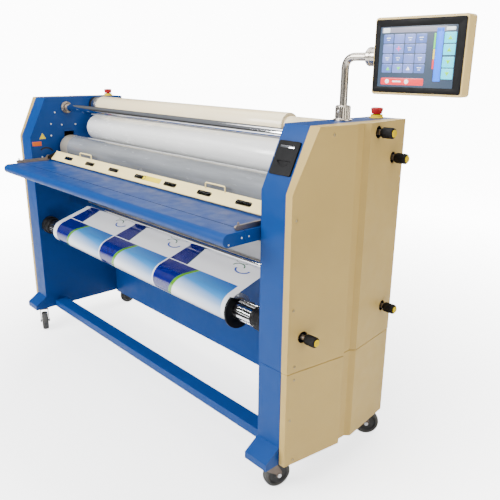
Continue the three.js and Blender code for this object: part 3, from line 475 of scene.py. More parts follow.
FORK_ZINC = metal("dark_zinc", (0.16, 0.13, 0.11), 0.38, (1, 1, 1))
LABEL_YELLOW = plastic("blank_yellow_label", srgb(226, 200, 0), 0.6, 80.0, 0.05)
LABEL_ORANGE = plastic("blank_orange_label", srgb(214, 92, 0), 0.5, 80.0, 0.05)
# painted shade: a near-black finish for thin sheets and cups laid into slots, vents, seams and
# recesses, where only shade would show
PAINTED_SHADE = plastic("painted_shade_in_gaps", (0.004, 0.004, 0.005, 1), 0.8)
BRASS_SCREW = metal("passivated_screw", (0.42, 0.34, 0.2), 0.35, (1, 1, 1))
ZINC_SCREW = metal("zinc_screw", (0.72, 0.73, 0.75), 0.28, (1, 1, 1))


def silicone_material():
    """Grey silicone roller: slightly cloudy, with faint turning marks."""
    s = Shader("grey_silicone", roughness=0.34, Coat_Weight=0.3, Coat_Roughness=0.15)
    cloud = s.noise(9.0, 5.0, 0.6, (0.25, 1, 1))
    s.colour(s.ramp(cloud, [(0.3, srgb(122, 116, 104)), (0.7, srgb(146, 140, 128))]))
    s.rough(s.span(s.noise(60.0, 3.0), 0.28, 0.45))
    s.bump(s.noise(30.0, 2.0, 0.5, (12, 1, 1)), 0.06, 0.0005)
    return s.material


def film_material(name, colour, cloudy, roughness=0.16):
    """Glossy vinyl film wound or led over a roller, with soft lengthwise tension bands."""
    s = Shader(name, roughness=roughness, Coat_Weight=0.6, Coat_Roughness=0.08)
    bands = s.noise(7.0, 4.0, 0.55, (0.35, 3.0, 3.0))
    s.colour(s.ramp(bands, [(0.3, colour), (0.75, cloudy)]))
    s.rough(s.span(s.noise(14.0, 3.0, 0.5, (1, 6, 6)), roughness, roughness + 0.14))
    s.bump(bands, 0.10, 0.0012)
    return s.material


def wound_edge(name, light, dark, spacing):
    """End of a roll: thin rings of wound layers about the roll's axis."""
    s = Shader(name, roughness=0.6)
    source = s.node("ShaderNodeTexCoord").outputs["Object"]
    wave = s.node(
        "ShaderNodeTexWave",
        {"wave_type": "RINGS", "rings_direction": "X"},
        Vector=source, Scale=spacing, Distortion=0.6, Detail=2.0,
    )
    s.colour(s.ramp(wave.outputs["Fac"], [(0.2, dark), (0.8, light)]))
    s.bump(wave.outputs["Fac"], 0.3, 0.0004)
    return s.material


SILICONE = silicone_material()
WHITE_FILM = film_material("white_film_roll", srgb(238, 238, 236), srgb(250, 250, 249))
CLEAR_FILM = film_material("film_over_roller", srgb(104, 107, 110), srgb(138, 141, 144), 0.14)
LINER_PAPER = film_material("cream_liner_paper", srgb(255, 234, 184), srgb(255, 240, 204), 0.3)
LINER_EDGE = wound_edge("liner_layers", srgb(240, 228, 198), srgb(196, 180, 146), 60.0)
FILM_EDGE = wound_edge("film_layers", srgb(244, 244, 242), srgb(200, 200, 198), 60.0)
PRINT_EDGE = wound_edge("print_layers", srgb(240, 240, 240), srgb(188, 190, 194), 60.0)
CORE_BOARD = plastic("core_board", srgb(222, 206, 170), 0.75, 120.0, 0.4)


TILES = 3  # printed panels across the web
FRONT_RUN = 0.17  # metres of print below the white line to the roll's underside
BACK_RUN = 0.20


def print_material():
    """Printed panels. UV: u counts panels across, v is metres along the web."""
    s = Shader("printed_vinyl", roughness=0.16, Coat_Weight=0.7, Coat_Roughness=0.06)
    uv = s.node("ShaderNodeTexCoord").outputs["UV"]
    parts = s.node("ShaderNodeSeparateXYZ", Vector=uv)
    u, v = parts.outputs["X"], parts.outputs["Y"]
    across = s.maths("FRACT", u)

    def below(value, limit, width=0.006):
        if isinstance(limit, float):
            low, high = limit - width, limit + width
        else:
            low, high = s.maths("SUBTRACT", limit, width), s.maths("ADD", limit, width)
        node = s.node(
            "ShaderNodeMapRange", {"interpolation_type": "SMOOTHSTEP"}, Value=value,
            From_Min=low, From_Max=high, To_Min=1.0, To_Max=0.0,
        )
        return node.outputs["Result"]

    white = srgb(236, 236, 238)
    navy = s.ramp(s.noise(60.0, 2.0), [(0.3, srgb(8, 12, 92)), (0.7, srgb(14, 20, 112))])
    green = srgb(84, 148, 12)
    dark_green = srgb(26, 74, 32)
    # lower row: sky fading to white, with a navy field and its green edge drifting left
    down = s.maths("DIVIDE", v, FRONT_RUN)
    fade = s.maths("ADD", down, s.maths("MULTIPLY", s.maths("SUBTRACT", 1.0, across), 0.3))
    sky = s.ramp(
        fade, [(0.0, srgb(0, 74, 160)), (0.5, srgb(60, 140, 206)), (0.95, white)]
    )
    drop = s.maths("POWER", s.maths("MAXIMUM", down, 0.0), 0.8)
    edge = s.maths("SUBTRACT", 0.46, s.maths("MULTIPLY", drop, 0.25))
    row = s.mix(below(across, s.maths("ADD", edge, 0.045)), sky, green)
    row = s.mix(below(across, edge), row, navy)
    # upper row: white field, a navy block with a thin dark edge, and two thin arcs
    up = s.maths("DIVIDE", s.maths("MULTIPLY", v, -1.0), BACK_RUN)
    block = s.maths("SUBTRACT", 0.27, s.maths("MULTIPLY", up, 0.10))
    upper = s.mix(below(across, s.maths("ADD", block, 0.012)), white, dark_green)
    upper = s.mix(below(across, block), upper, navy)

    def half_ring(row_colour, centre, radius, width, colour, facing):
        """Half of a ring, open upwards (facing 1) or downwards (facing -1)."""
        dx = s.maths("MULTIPLY", s.maths("SUBTRACT", across, centre[0]), PRINT_TILE)
        dy = s.maths("MULTIPLY", s.maths("SUBTRACT", up, centre[1]), BACK_RUN * 1.6)
        squares = s.maths("ADD", s.maths("MULTIPLY", dx, dx), s.maths("MULTIPLY", dy, dy))
        ring = s.maths("ABSOLUTE", s.maths("SUBTRACT", s.maths("SQRT", squares), radius))
        half = below(s.maths("MULTIPLY", dy, float(facing)), 0.0, 0.002)
        mask = s.maths("MULTIPLY", below(ring, width, 0.0012), half)
        return s.mix(mask, row_colour, colour)

    upper = half_ring(upper, (0.84, 0.42), 0.036, 0.0050, srgb(60, 84, 170), 1)
    upper = half_ring(upper, (0.76, 0.46), 0.030, 0.0035, srgb(30, 96, 60), -1)
    picture = s.mix(s.maths("LESS_THAN", v, 0.0), row, upper)
    # white margins between panels, and the blank border of the web
    gutter = below(s.maths("MINIMUM", across, s.maths("SUBTRACT", 1.0, across)), 0.010, 0.003)
    line = below(s.maths("ABSOLUTE", v), 0.0022, 0.0008)
    outside = s.maths(
        "MAXIMUM", s.maths("LESS_THAN", u, 0.0), s.maths("GREATER_THAN", u, float(TILES))
    )
    margin = s.maths("MAXIMUM", s.maths("MAXIMUM", gutter, line), outside)
    s.colour(s.mix(margin, picture, white))
    s.rough(s.span(s.noise(12.0, 3.0), 0.12, 0.24))
    s.bump(s.noise(9.0, 3.0, 0.5, (0.4, 1.6, 1.6)), 0.12, 0.001)
    return s.material


PRINT_START = -0.655  # where the first panel begins, in metres from the machine's middle
PRINT_END = 0.650
PRINT_TILE = (PRINT_END - PRINT_START) / TILES
LINE_UP = 0.05  # the white line between the rows lies this far up the web from the roll
PRINT = print_material()


def glow(name, colour, strength=1.0):
    """Lit area of the screen, a little uneven like a panel seen from outside."""
    s = Shader(name, roughness=0.3, Emission_Strength=strength)
    tone = s.ramp(s.noise(14.0, 2.0), [(0.3, shade(colour, 0.9)), (0.7, colour)])
    s.colour(tone)
    s.feed(s.bsdf.inputs["Emission Color"], tone)
    return s.material


# ---------------------------------------------------------------------------
# Camera, lights and stage
# ---------------------------------------------------------------------------
CAMERA_PLACE = (2124.5, -1223.5, 1419.1)  # machine mm
CAMERA_HEADING, CAMERA_TILT, CAMERA_ROLL = 47.238, 17.42, 0.567  # degrees; the tilt is downwards
CAMERA_LENS, CAMERA_SENSOR = 42.33, 36  # mm


def build_camera():
    data = bpy.data.cameras.new("camera")
    data.lens = CAMERA_LENS
    data.sensor_width = CAMERA_SENSOR
    camera = bpy.data.objects.new("camera", data)
    bpy.context.scene.collection.objects.link(camera)
    camera.matrix_world = (
        Matrix.Translation(at(*CAMERA_PLACE))
        @ Matrix.Rotation(math.radians(CAMERA_HEADING), 4, "Z")
        @ Matrix.Rotation(math.radians(90 - CAMERA_TILT), 4, "X")
        @ Matrix.Rotation(math.radians(CAMERA_ROLL), 4, "Z")
    )
    bpy.context.scene.camera = camera


def area_light(name, location, target, size, power, tint=(1, 1, 1)):
    data = bpy.data.lights.new(name, "AREA")
    data.shape = "RECTANGLE"
    data.size, data.size_y = size
    data.energy = power
    data.color = tint
    light = bpy.data.objects.new(name, data)
    bpy.context.scene.collection.objects.link(light)
    light.matrix_world = Matrix.Translation(location) @ (
        (Vector(target) - Vector(location)).to_track_quat("-Z", "Y").to_matrix().to_4x4()
    )


def build_world():
    """White to the camera; to everything else a soft room, bright above and dim below."""
    world = bpy.data.worlds.new("studio")
    world.use_nodes = True
    nodes, links = world.node_tree.nodes, world.node_tree.links
    room = nodes["Background"]
    direction = nodes.new("ShaderNodeSeparateXYZ")
    links.new(nodes.new("ShaderNodeTexCoord").outputs["Generated"], direction.inputs[0])
    ramp = nodes.new("ShaderNodeValToRGB")
    stops = [(0.0, (0.10, 0.09, 0.08, 1)), (0.12, (0.22, 0.20, 0.18, 1)),
             (0.45, (0.66, 0.70, 0.76, 1)), (1.0, (1, 1, 1, 1))]
    for _ in stops[2:]:
        ramp.color_ramp.elements.new(0.5)
    for element, (position, colour) in zip(ramp.color_ramp.elements, stops):
        element.position, element.color = position, colour
    links.new(direction.outputs["Z"], ramp.inputs["Fac"])
    links.new(ramp.outputs["Color"], room.inputs["Color"])
    room.inputs["Strength"].default_value = 0.42
    seen = nodes.new("ShaderNodeBackground")
    seen.inputs["Color"].default_value = (1, 1, 1, 1)
    seen.inputs["Strength"].default_value = 12.0
    choice = nodes.new("ShaderNodeMixShader")
    links.new(nodes.new("ShaderNodeLightPath").outputs["Is Camera Ray"], choice.inputs["Fac"])
    links.new(room.outputs[0], choice.inputs[1])
    links.new(seen.outputs[0], choice.inputs[2])
    links.new(choice.outputs[0], nodes["World Output"].inputs["Surface"])
    bpy.context.scene.world = world


def build_stage():
    s = Shader("studio_floor", roughness=0.8)
    s.colour(s.ramp(s.noise(1.2, 3.0), [(0.3, (0.9, 0.9, 0.895, 1)), (0.7, (0.93, 0.93, 0.925, 1))]))
    s.bump(s.noise(60.0, 3.0), 0.05, 0.001)
    # the floor runs out into the white of the backdrop
    flat = s.node("ShaderNodeVectorMath", {"operation": "LENGTH"},
                  Vector=s.node("ShaderNodeTexCoord").outputs["Object"]).outputs["Value"]
    seen = s.node("ShaderNodeLightPath").outputs["Is Camera Ray"]
    s.bsdf.inputs["Emission Color"].default_value = (1, 1, 1, 1)
    away = s.span(flat, 2.4, 11.5, (0.8, 4.0))
    s.feed(s.bsdf.inputs["Emission Strength"], s.maths("MULTIPLY", seen, away))
    span = 30
    corners = [(-span, -span, 0), (span, -span, 0), (span, span, 0), (-span, span, 0)]
    floor = mesh_object("studio_floor", corners, [[0, 1, 2, 3]], s.material)
    build_world()
    area_light("key", (-1.0, -4.6, 3.2), (0, 0, 0.8), (3.6, 2.0), 520)
    area_light("top", (0.2, -0.2, 5.0), (0, 0, 0.4), (6.0, 5.0), 380)
    area_light("side", (4.8, 0.2, 2.2), (0.9, 0, 0.7), (2.4, 2.4), 110, (1, 0.96, 0.88))
    area_light("rear", (-0.6, 4.6, 2.8), (0, 0, 0.8), (3.0, 2.0), 120)


# ---------------------------------------------------------------------------
# CAD nodes that keep their shape
# ---------------------------------------------------------------------------
def dress(node, material, bevel=1.2, segments=2):
    """Softened edges and a real finish on a CAD node."""
    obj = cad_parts[node]
    obj.data.materials.clear()
    obj.data.materials.append(material)
    obj.data.polygons.foreach_set("use_smooth", [True] * len(obj.data.polygons))
    weld = obj.modifiers.new("weld", "WELD")
    weld.merge_threshold = 1e-5
    flat = obj.modifiers.new("flat", "DECIMATE")
    flat.decimate_type = "DISSOLVE"
    flat.angle_limit = math.radians(0.5)
    soft = obj.modifiers.new("edges", "BEVEL")
    soft.width = bevel * MM
    soft.segments = segments
    soft.limit_method = "ANGLE"
    soft.angle_limit = math.radians(28)
    soft.use_clamp_overlap = True
    weighted = obj.modifiers.new("normals", "WEIGHTED_NORMAL")
    weighted.keep_sharp = True
    return obj


def dress_structure():
    for label in SIDES:
        dress(f"{label}_side_frame", BLUE, 3.0, 3)
        dress(f"{label}_cover_upper", CREAM, 3.5, 3)
        dress(f"{label}_cover_lower", CREAM, 3.0, 3)
        dress(f"table_arm_{label}", ARM_STEEL, 1.0)
        dress(f"lift_block_{label}", CAST, 1.0)
    dress("front_cross_bar", BLUE, 3.0, 3)
    dress("rear_cross_panel", BLUE, 2.0, 3)
    dress("table_deck", BLUE, 2.0, 3)
    dress("table_flap", BLUE, 1.5, 3)
    dress("drive_motor", CAST, 2.0)
    dress("motor_sprocket", GROUND_STEEL, 0.4)
    dress("mains_inlet", BLACK, 0.8)


# ---------------------------------------------------------------------------
# Screws, guide slots and labels
# ---------------------------------------------------------------------------
def screw(name, centre, direction, radius, material):
    """Button head with a hexagon socket."""
    head = lathe(
        name,
        [(0, 0), (radius, 0), (radius, 0.3 * radius), (0.86 * radius, 0.52 * radius),
         (0.6 * radius, 0.66 * radius), (0.45 * radius, 0.66 * radius),
         (0.45 * radius, 0.3 * radius), (0, 0.3 * radius)],
        centre, direction, material, sides=24,
    )
    return head


COVER_EDGE_X, COVER_PEAK_X, COVER_REAR = 980, 1015, 545
GROOVE_FRONT, GROOVE_REAR = 245, 311


def cover_face_x(y):
    part = y / GROOVE_FRONT if y < GROOVE_FRONT else (COVER_REAR - y) / (COVER_REAR - GROOVE_REAR)
    return COVER_EDGE_X + (COVER_PEAK_X - COVER_EDGE_X) * part


COVER_SCREWS = [
    (150, 1226), (503, 1226), (523, 1066), (18, 983), (523, 693), (18, 695),
    (30, 497), (505, 499), (30, 450), (505, 451), (523, 296), (18, 302), (509, 143), (36, 145),
]


def cover_details():
    for label, side in SIDES.items():
        heads = [
            screw("head", at(side * (cover_face_x(y) - 0.2), y, z), (side, 0, 0), 4.6, BRASS_SCREW)
            for y, z in COVER_SCREWS
        ]
        finish_piece(joined(f"{label}_cover_screws", heads), "machine", "arm_steel")


WALL_SCREWS = [(142, 1178), (116, 1121), (112, 1062), (175, 1114), (252, 1113), (54, 956)]


def wall_details():
    """Screws and the guard's guide slot on both inner walls."""
    for label, side in SIDES.items():
        inward = (-side, 0, 0)
        pieces = [
            screw("head", at(side * (INNER_X - 0.2), y, z), inward, 4.2, ZINC_SCREW)
            for y, z in WALL_SCREWS
        ]
        finish_piece(joined(f"{label}_wall_screws", pieces), "machine", "shaft_steel")
        guide = []
        for radius in (50, 42):
            angles = [math.radians(36 + 92 * k / 16) for k in range(17)]
            if radius == 42:
                angles.reverse()
            guide += [(77 + radius * math.cos(a), 956 + radius * math.sin(a)) for a in angles]
        # painted shade: the guide slot is a thin near-black sheet on the wall, standing in for the
        # shade inside the slot
        place = side_plane(side * (INNER_X - 0.5), side)
        slot = plate(f"{label}_guide_slot_shade", [guide], 0.45, place, PAINTED_SHADE, 0.05)
        finish_piece(slot, "machine", "black_plastic")


def wall_labels():
    """Blank stickers on the left inner wall."""
    place = side_plane(-INNER_X + 0.05)
    triangle = [(47, 1048), (83, 1048), (65, 1078)]
    yellow = plate("blank_triangle_sticker", [triangle], 0.3, place, LABEL_YELLOW, 0.05)
    finish_piece(yellow, "machine", "yellow_plastic")
    strip = [(8, 1014), (56, 1014), (56, 1036), (8, 1036)]
    orange = plate("blank_strip_sticker", [strip], 0.3, place, LABEL_ORANGE, 0.05)
    finish_piece(orange, "machine", "yellow_plastic")


# ---------------------------------------------------------------------------
# Rollers, rolls and shafts
# ---------------------------------------------------------------------------
X = (1, 0, 0)


def bar_profile(radius, half, journal, end):
    body = [(0, -end), (journal, -end), (journal, -half), (radius, -half)]
    return softened(body + [(r, -h) for r, h in reversed(body)], 1.0)


def ring(name, node, inner, outer, x0, x1, material, soft=1.0, sides=96):
    """Tube about a node's axis, from x0 to x1 in machine mm."""
    centre = axis_centre(node)
    profile = softened([(inner, x0), (outer, x0), (outer, x1), (inner, x1)], soft)
    return lathe(name, profile, centre, X, material, sides)


def extent(node):
    """(x0, x1, radius) of a turned node, in machine mm."""
    low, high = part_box(node)
    return (
        (low.x - ORIGIN.x) / MM,
        (high.x - ORIGIN.x) / MM,
        max(high.y - low.y, high.z - low.z) / 2 / MM,
    )


def roller_cover(label):
    """Silicone sleeve of one nip roller."""
    sleeve = f"{label}_sleeve"
    x0, x1, radius = extent(sleeve)
    cover = ring(f"{label}_silicone", sleeve, 50.5, radius, x0, x1, SILICONE, 2.5, 128)
    finish_piece(cover, label, "silicone", sleeve)


def nip_rollers():
    roller_cover("top_roller")
    shaft = lathe(
        "top_roller_spindle",
        softened(
            [(0, -879), (20, -879), (20, -831), (49.8, -830), (49.8, 830), (20, 831),
             (20, 879), (0, 879)], 1.2,
        ),
        axis_centre("top_roller_sleeve"), X, GROUND_STEEL, 64,
    )
    finish_piece(shaft, "top_roller", "shaft_steel", "top_roller_shaft")
    roller_cover("bottom_roller")
    dress("bottom_roller_shaft", GROUND_STEEL, 0.6)


CORE_WALL = 4


def roll(name, node, body, slot, surface, edge, core_outer):
    """Wound roll: surface, layered end faces and a board core."""
    x0, x1, radius = extent(node)
    inner = core_outer - CORE_WALL
    centre = axis_centre(node)
    outer = lathe(
        name,
        [(core_outer, x0), (radius - 1.5, x0), (radius - 0.4, x0 + 0.5), (radius, x0 + 1.6),
         (radius, x1 - 1.6), (radius - 0.4, x1 - 0.5), (radius - 1.5, x1), (core_outer, x1)],
        centre, X, surface, 160,
    )
    outer.data.materials.append(edge)
    for polygon in outer.data.polygons:
        if abs(polygon.normal.x) > 0.7:
            polygon.material_index = 1
    tube = lathe(
        name + "_core",
        softened([(inner, x0 + 0.5), (core_outer - 0.1, x0 + 0.5), (core_outer - 0.1, x1 - 0.5),
                  (inner, x1 - 0.5)], 0.5),
        centre, X, CORE_BOARD, 96,
    )
    piece = joined(name, [outer, tube])
    return finish_piece(piece, body, slot, node)


def shafts():
    for node, body, radius in (
        ("tension_bar", "tension_bar", 19), ("lower_idler", "lower_idler", 19),
    ):
        centre = axis_centre(node)
        bar = lathe(f"{node}_chromed", bar_profile(radius, 848, 12, 861.5), centre, X, CHROME, 96)
        finish_piece(bar, body, "chrome", node)
    centre = axis_centre("film_shaft")
    bar = lathe("film_arbor", bar_profile(37.6, 829, 12, 861.5), centre, X, SATIN_STEEL, 64)
    finish_piece(bar, "film", "shaft_steel", "film_shaft")


def bar_flanges():
    for label, side in SIDES.items():
        node = f"tension_bar_flange_{label}"
        x0, x1, radius = extent(node)
        wall, face = (x0, x1) if side < 0 else (x1, x0)
        step = -side
        profile = [
            (19.8, wall), (radius, wall), (radius, wall + step * 5), (26, wall + step * 6),
            (24.5, face - step * 0.5), (23.5, face), (19.8, face),
        ]
        if side > 0:
            profile.reverse()
        centre = axis_centre(node)
        flange = lathe("flange", softened(profile, 0.6), centre, X, ARM_STEEL, 96)
        bolts = []
        for k in range(3):
            angle = math.radians(90 + 120 * k)
            spot = Vector((0, math.cos(angle), math.sin(angle))) * 27.8 * MM
            spot += centre + Vector((wall + step * 5.0, 0, 0)) * MM
            bolts.append(screw("bolt", spot, (step, 0, 0), 1.9, ZINC_SCREW))
        piece = joined(f"tension_flange_{label}", [flange, *bolts])
        finish_piece(piece, "machine", "chrome", node)


def liner_arbor():
    """Shaft with a black hub, a turned cone, the paper core's end and a small collar."""
    left = extent("liner_roll")[0]
    right = extent("film_roll")[1]  # the bare core is as wide as the supply roll
    centre = axis_centre("liner_roll")
    hub = lathe(
        "hub",
        softened([(13, -848), (43.8, -848), (43.8, -833), (41, -830), (13, -830)], 1.5),
        centre, X, BLACK, 96,
    )
    cone = lathe(
        "cone",
        softened([(13, -829.5), (37.5, -829.5), (44.6, -823), (44.6, -796), (36.4, left - 0.5),
                  (13, left - 0.5)], 1.5),
        centre, X, SATIN_STEEL, 96,
    )
    spindle = lathe(
        "spindle",
        softened([(0, -861.5), (12, -861.5), (12, 861.5), (0, 861.5)], 0.8),
        centre, X, GROUND_STEEL, 48,
    )
    board = lathe(
        "board", softened([(31, left), (35.9, left), (35.9, right), (31, right)], 0.6),
        centre, X, CORE_BOARD, 96,
    )
    plug = lathe(
        "plug", softened([(12.2, 786), (30.6, 786), (30.6, 801), (20, 806), (12.2, 806)], 1.0),
        centre, X, SATIN_STEEL, 64,
    )
    collar = lathe(
        "collar", softened([(12.2, 837), (39.8, 837), (39.8, 848), (12.2, 848)], 1.2),
        centre, X, BLACK, 96,
    )
    piece = joined("liner_arbor", [hub, cone, spindle, board, plug, collar])
    finish_piece(piece, "liner", "hub_grey", "liner_shaft")


ARBOR = 35.4  # radius of the expanding shaft's dark body
KEY_TOP = 36.4
KEYS = 12


def media_arbor():
    """Expanding shaft: dark body with polished keys that grip the core."""
    centre = axis_centre("media_roll")
    body = lathe(
        "arbor",
        softened([(0, -839.5), (11.8, -839.5), (11.8, -787), (ARBOR, -786.5), (ARBOR, 786.5),
                  (11.8, 787), (11.8, 839.5), (0, 839.5)], 0.8),
        centre, X, SATIN_BLACK, 96,
    )
    keys = []
    for k in range(KEYS):
        angle = 2 * math.pi * (k + 0.4) / KEYS
        out = Vector((0, math.cos(angle), math.sin(angle)))
        place = frame_at(centre + out * (KEY_TOP - 3) * MM, X, out.cross(Vector(X)))
        keys.append(plate("key", [rounded_outline(1550, 11, 3)], 3, place, CHROME, 0.8))
    piece = joined("media_arbor", [body, *keys])
    finish_piece(piece, "media", "chrome", "media_shaft")


FLANGE_BORE = 37.3
FLANGE_CHORD = 34  # from the axis to the flange's straight side
FLANGE_TURN = 65  # degrees from +Y to that side's normal
FLANGE_STEPS = 60


def flange_outline(radius):
    """A disc cut straight across just inside its bore, so that it opens into a C."""
    outer = math.degrees(math.acos(FLANGE_CHORD / radius))
    inner = math.degrees(math.acos(FLANGE_CHORD / FLANGE_BORE))
    points = []
    for r, start, end in (
        (radius, FLANGE_TURN + outer, FLANGE_TURN + 360 - outer),
        (FLANGE_BORE, FLANGE_TURN + 360 - inner, FLANGE_TURN + inner),
    ):
        for k in range(FLANGE_STEPS + 1):
            angle = math.radians(start + (end - start) * k / FLANGE_STEPS)
            points.append((r * math.cos(angle), r * math.sin(angle)))
    return points


def media_fittings():
    x0, x1, radius = extent("media_flange")
    centre = middle("media_roll")
    centre.x = ORIGIN.x + x0 * MM
    place = frame_at(centre, (0, 1, 0), (0, 0, 1))
    disc = plate("disc", [flange_outline(radius)], x1 - x0, place, SATIN_BLACK, 1.2)
    angle = math.radians(100)
    clip_at = Vector((x1 - x0 - 0.3, 56 * math.cos(angle), 56 * math.sin(angle)))
    clip = screw("clip", centre + clip_at * MM, X, 4, ZINC_SCREW)
    finish_piece(joined("media_end_flange", [disc, clip]), "media", "black_plastic",
                 "media_flange")
    for label, side in SIDES.items():
        node = f"media_chuck_{label}"
        x0, x1, rim_radius = extent(node)
        wall, face = (x0, x1) if side < 0 else (x1, x0)
        step = -side
        profile = [
            (12.8, wall), (rim_radius, wall), (rim_radius, wall + step * 26),
            (44, wall + step * 29), (41.8, wall + step * 30), (41.8, face - step * 6),
            (38, face), (12.8, face),
        ]
        if side > 0:
            profile.reverse()
        centre = axis_centre(node)

        def fluted(r, angle):
            return r - 1.4 * max(0, math.cos(angle * 12)) ** 3 if 41 < r < 43 else r

        body = lathe("body", softened(profile, 1.2), centre, X, BLACK, 144, fluted)
        rim = ring("rim", node, 12.8, 30, face - step * 0.5, face + step * 0.9, GROUND_STEEL, 0.3, 64)
        finish_piece(joined(f"media_clamp_{label}", [body, rim]), "machine", "black_plastic", node)


# ---------------------------------------------------------------------------
# Webs
# ---------------------------------------------------------------------------
def axis_of(node):
    centre = middle(node)
    return centre.y, centre.z, extent(node)[2] * MM


def crossed_contact(a, b):
    """Angle on circle a where a straight web crosses over to the other side of circle b."""
    distance = math.hypot(b[0] - a[0], b[1] - a[1])
    along = math.atan2(b[1] - a[1], b[0] - a[0])
    return along + math.acos((a[2] + b[2]) / distance)


def arc_points(circle, start, end, steps):
    return [
        (
            circle[0] + circle[2] * math.cos(start + (end - start) * k / steps),
            circle[1] + circle[2] * math.sin(start + (end - start) * k / steps),
        )
        for k in range(steps + 1)
    ]


def refined(path, spacing=0.012):
    """Adds points on the long straight runs."""
    result = [path[0]]
    for (a, b), (c, d) in zip(path, path[1:]):
        steps = max(1, math.ceil(math.hypot(c - a, d - b) / spacing))
        result += [
            (a + (c - a) * k / steps, b + (d - b) * k / steps) for k in range(1, steps + 1)
        ]
    return result


def web_sheet(name, path, x0, x1, thickness, material, columns, tile=1.0):
    """Thin closed sheet along a (y, z) path. UV: panels across, and metres back along it."""
    half = thickness / 2 * MM
    sides = []
    for sign in (1, -1):
        line = []
        for i, (y, z) in enumerate(path):
            a, b = path[max(i - 1, 0)], path[min(i + 1, len(path) - 1)]
            length = math.hypot(b[0] - a[0], b[1] - a[1])
            line.append((y + sign * half * (b[1] - a[1]) / length,
                         z - sign * half * (b[0] - a[0]) / length))
        sides.append(line)
    loop = sides[0] + sides[1][::-1]
    runs = [0.0]
    for a, b in zip(path, path[1:]):
        runs.append(runs[-1] + math.hypot(b[0] - a[0], b[1] - a[1]))
    along = runs + runs[::-1]
    count = len(loop)
    vertices = [
        (ORIGIN.x + (x0 + (x1 - x0) * c / columns) * MM, y, z)
        for c in range(columns + 1)
        for y, z in loop
    ]
    faces = [
        [c * count + i, c * count + (i + 1) % count, (c + 1) * count + (i + 1) % count,
         (c + 1) * count + i]
        for c in range(columns)
        for i in range(count)
    ]
    half_count = count // 2
    for base in (0, columns * count):
        for i in range(half_count - 1):
            faces.append([base + i, base + i + 1, base + count - 2 - i, base + count - 1 - i])
    obj = mesh_object(name, vertices, faces, material, sharp=40)
    layer = obj.data.uv_layers.new(name="UVMap")
    for item in obj.data.loops:
        column, spot = divmod(item.vertex_index, count)
        x = (x0 + (x1 - x0) * column / columns) * MM
        layer.data[item.index].uv = ((x - PRINT_START) / tile, -along[spot])
    return obj


RIDE = 0.0006  # web's middle above the surface it rides on


def printed_web():
    """From the nip's rear, round the bottom roller and the idler, to the roll's top."""
    bottom = axis_of("bottom_roller_sleeve")
    idler = axis_of("lower_idler")
    media = axis_of("media_roll")
    bottom, idler, media = ((y, z, r + RIDE) for y, z, r in (bottom, idler, media))
    on_roll = crossed_contact(media, idler)
    distance = math.hypot(bottom[0] - idler[0], bottom[1] - idler[1])
    lean = math.atan2(bottom[0] - idler[0], bottom[1] - idler[1])
    rear = -(math.asin((bottom[2] - idler[2]) / distance) + lean)
    path = arc_points(bottom, math.radians(74), rear, 24)
    path += arc_points(idler, rear, on_roll - math.pi, 12)
    path += arc_points(media, on_roll, on_roll + math.radians(5), 2)
    path = refined(path)
    length = sum(math.hypot(b[0] - a[0], b[1] - a[1]) for a, b in zip(path, path[1:]))
    x0, x1, _ = extent("printed_web")
    tail = media[2] * math.radians(5)
    web = web_sheet("printed_web_sheet", path, x0, x1, 0.4, PRINT, 24, PRINT_TILE)
    layer = web.data.uv_layers[0]
    for item in layer.data:
        item.uv[1] = LINE_UP - item.uv[1] - (length - tail)
    finish_piece(web, "machine", "print", "printed_web")
    return on_roll


def printed_roll(on_roll):
    x0, x1, radius = extent("media_roll")
    y, z, r = axis_of("media_roll")
    sides, columns = 180, 24

    def panels_across(column):
        return ((x0 + (x1 - x0) * column / columns) * MM - PRINT_START) / PRINT_TILE

    def metres_round(side):
        return LINE_UP + r * 2 * math.pi * side / sides

    vertices, faces, coordinates = [], [], []
    for c in range(columns + 1):
        x = x0 + (x1 - x0) * c / columns
        inset = 0.5 if c in (0, columns) else 0.0
        for k in range(sides):
            angle = on_roll + 2 * math.pi * k / sides
            reach = r - inset * MM
            vertices.append((ORIGIN.x + x * MM, y + reach * math.cos(angle),
                             z + reach * math.sin(angle)))
    for c in range(columns):
        for k in range(sides):
            j = (k + 1) % sides
            faces.append([c * sides + k, c * sides + j, (c + 1) * sides + j, (c + 1) * sides + k])
            u0, u1 = panels_across(c), panels_across(c + 1)
            v0, v1 = metres_round(k), metres_round(k + 1)
            coordinates += [(u0, v0), (u0, v1), (u1, v1), (u1, v0)]
    mesh = bpy.data.meshes.new("printed_surface")
    mesh.from_pydata(vertices, [], faces)
    layer = mesh.uv_layers.new(name="UVMap")
    for item, uv in zip(layer.data, coordinates):
        item.uv = uv
    mesh.flip_normals()
    surface = add_object("printed_surface", mesh, PRINT)
    ends = []
    centre = Vector((ORIGIN.x, y, z))
    for start, end in ((x0, x0 + 3), (x1 - 3, x1)):
        ends.append(
            lathe("layers", [(41, start), (radius - 0.5, start), (radius - 0.5, end), (41, end)],
                  centre, X, PRINT_EDGE, 180)
        )
    core = lathe(
        "core", softened([(37.4, x0 + 0.5), (41, x0 + 0.5), (41, x1 - 0.5), (37.4, x1 - 0.5)], 0.5),
        centre, X, CORE_BOARD, 96,
    )
    piece = joined("printed_media_roll", [surface, *ends, core])
    finish_piece(piece, "media", "print", "media_roll")


def film_web():
    """Off the supply roll's underside, over the top roller's front, into the nip."""
    top = axis_of("top_roller_sleeve")
    film = axis_of("film_roll")
    top = (top[0], top[1], top[2] + RIDE)
    film = (film[0], film[1], film[2] + RIDE)
    contact = crossed_contact(top, film)
    path = arc_points(film, contact + math.pi + math.radians(8), contact + math.pi, 4)
    path += arc_points(top, contact, math.radians(262), 48)
    path = refined(path)
    x0, x1, _ = extent("film_web")
    web = web_sheet("film_web_sheet", path, x0, x1, 0.3, CLEAR_FILM, 40)
    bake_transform(web)
    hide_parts("film_web")


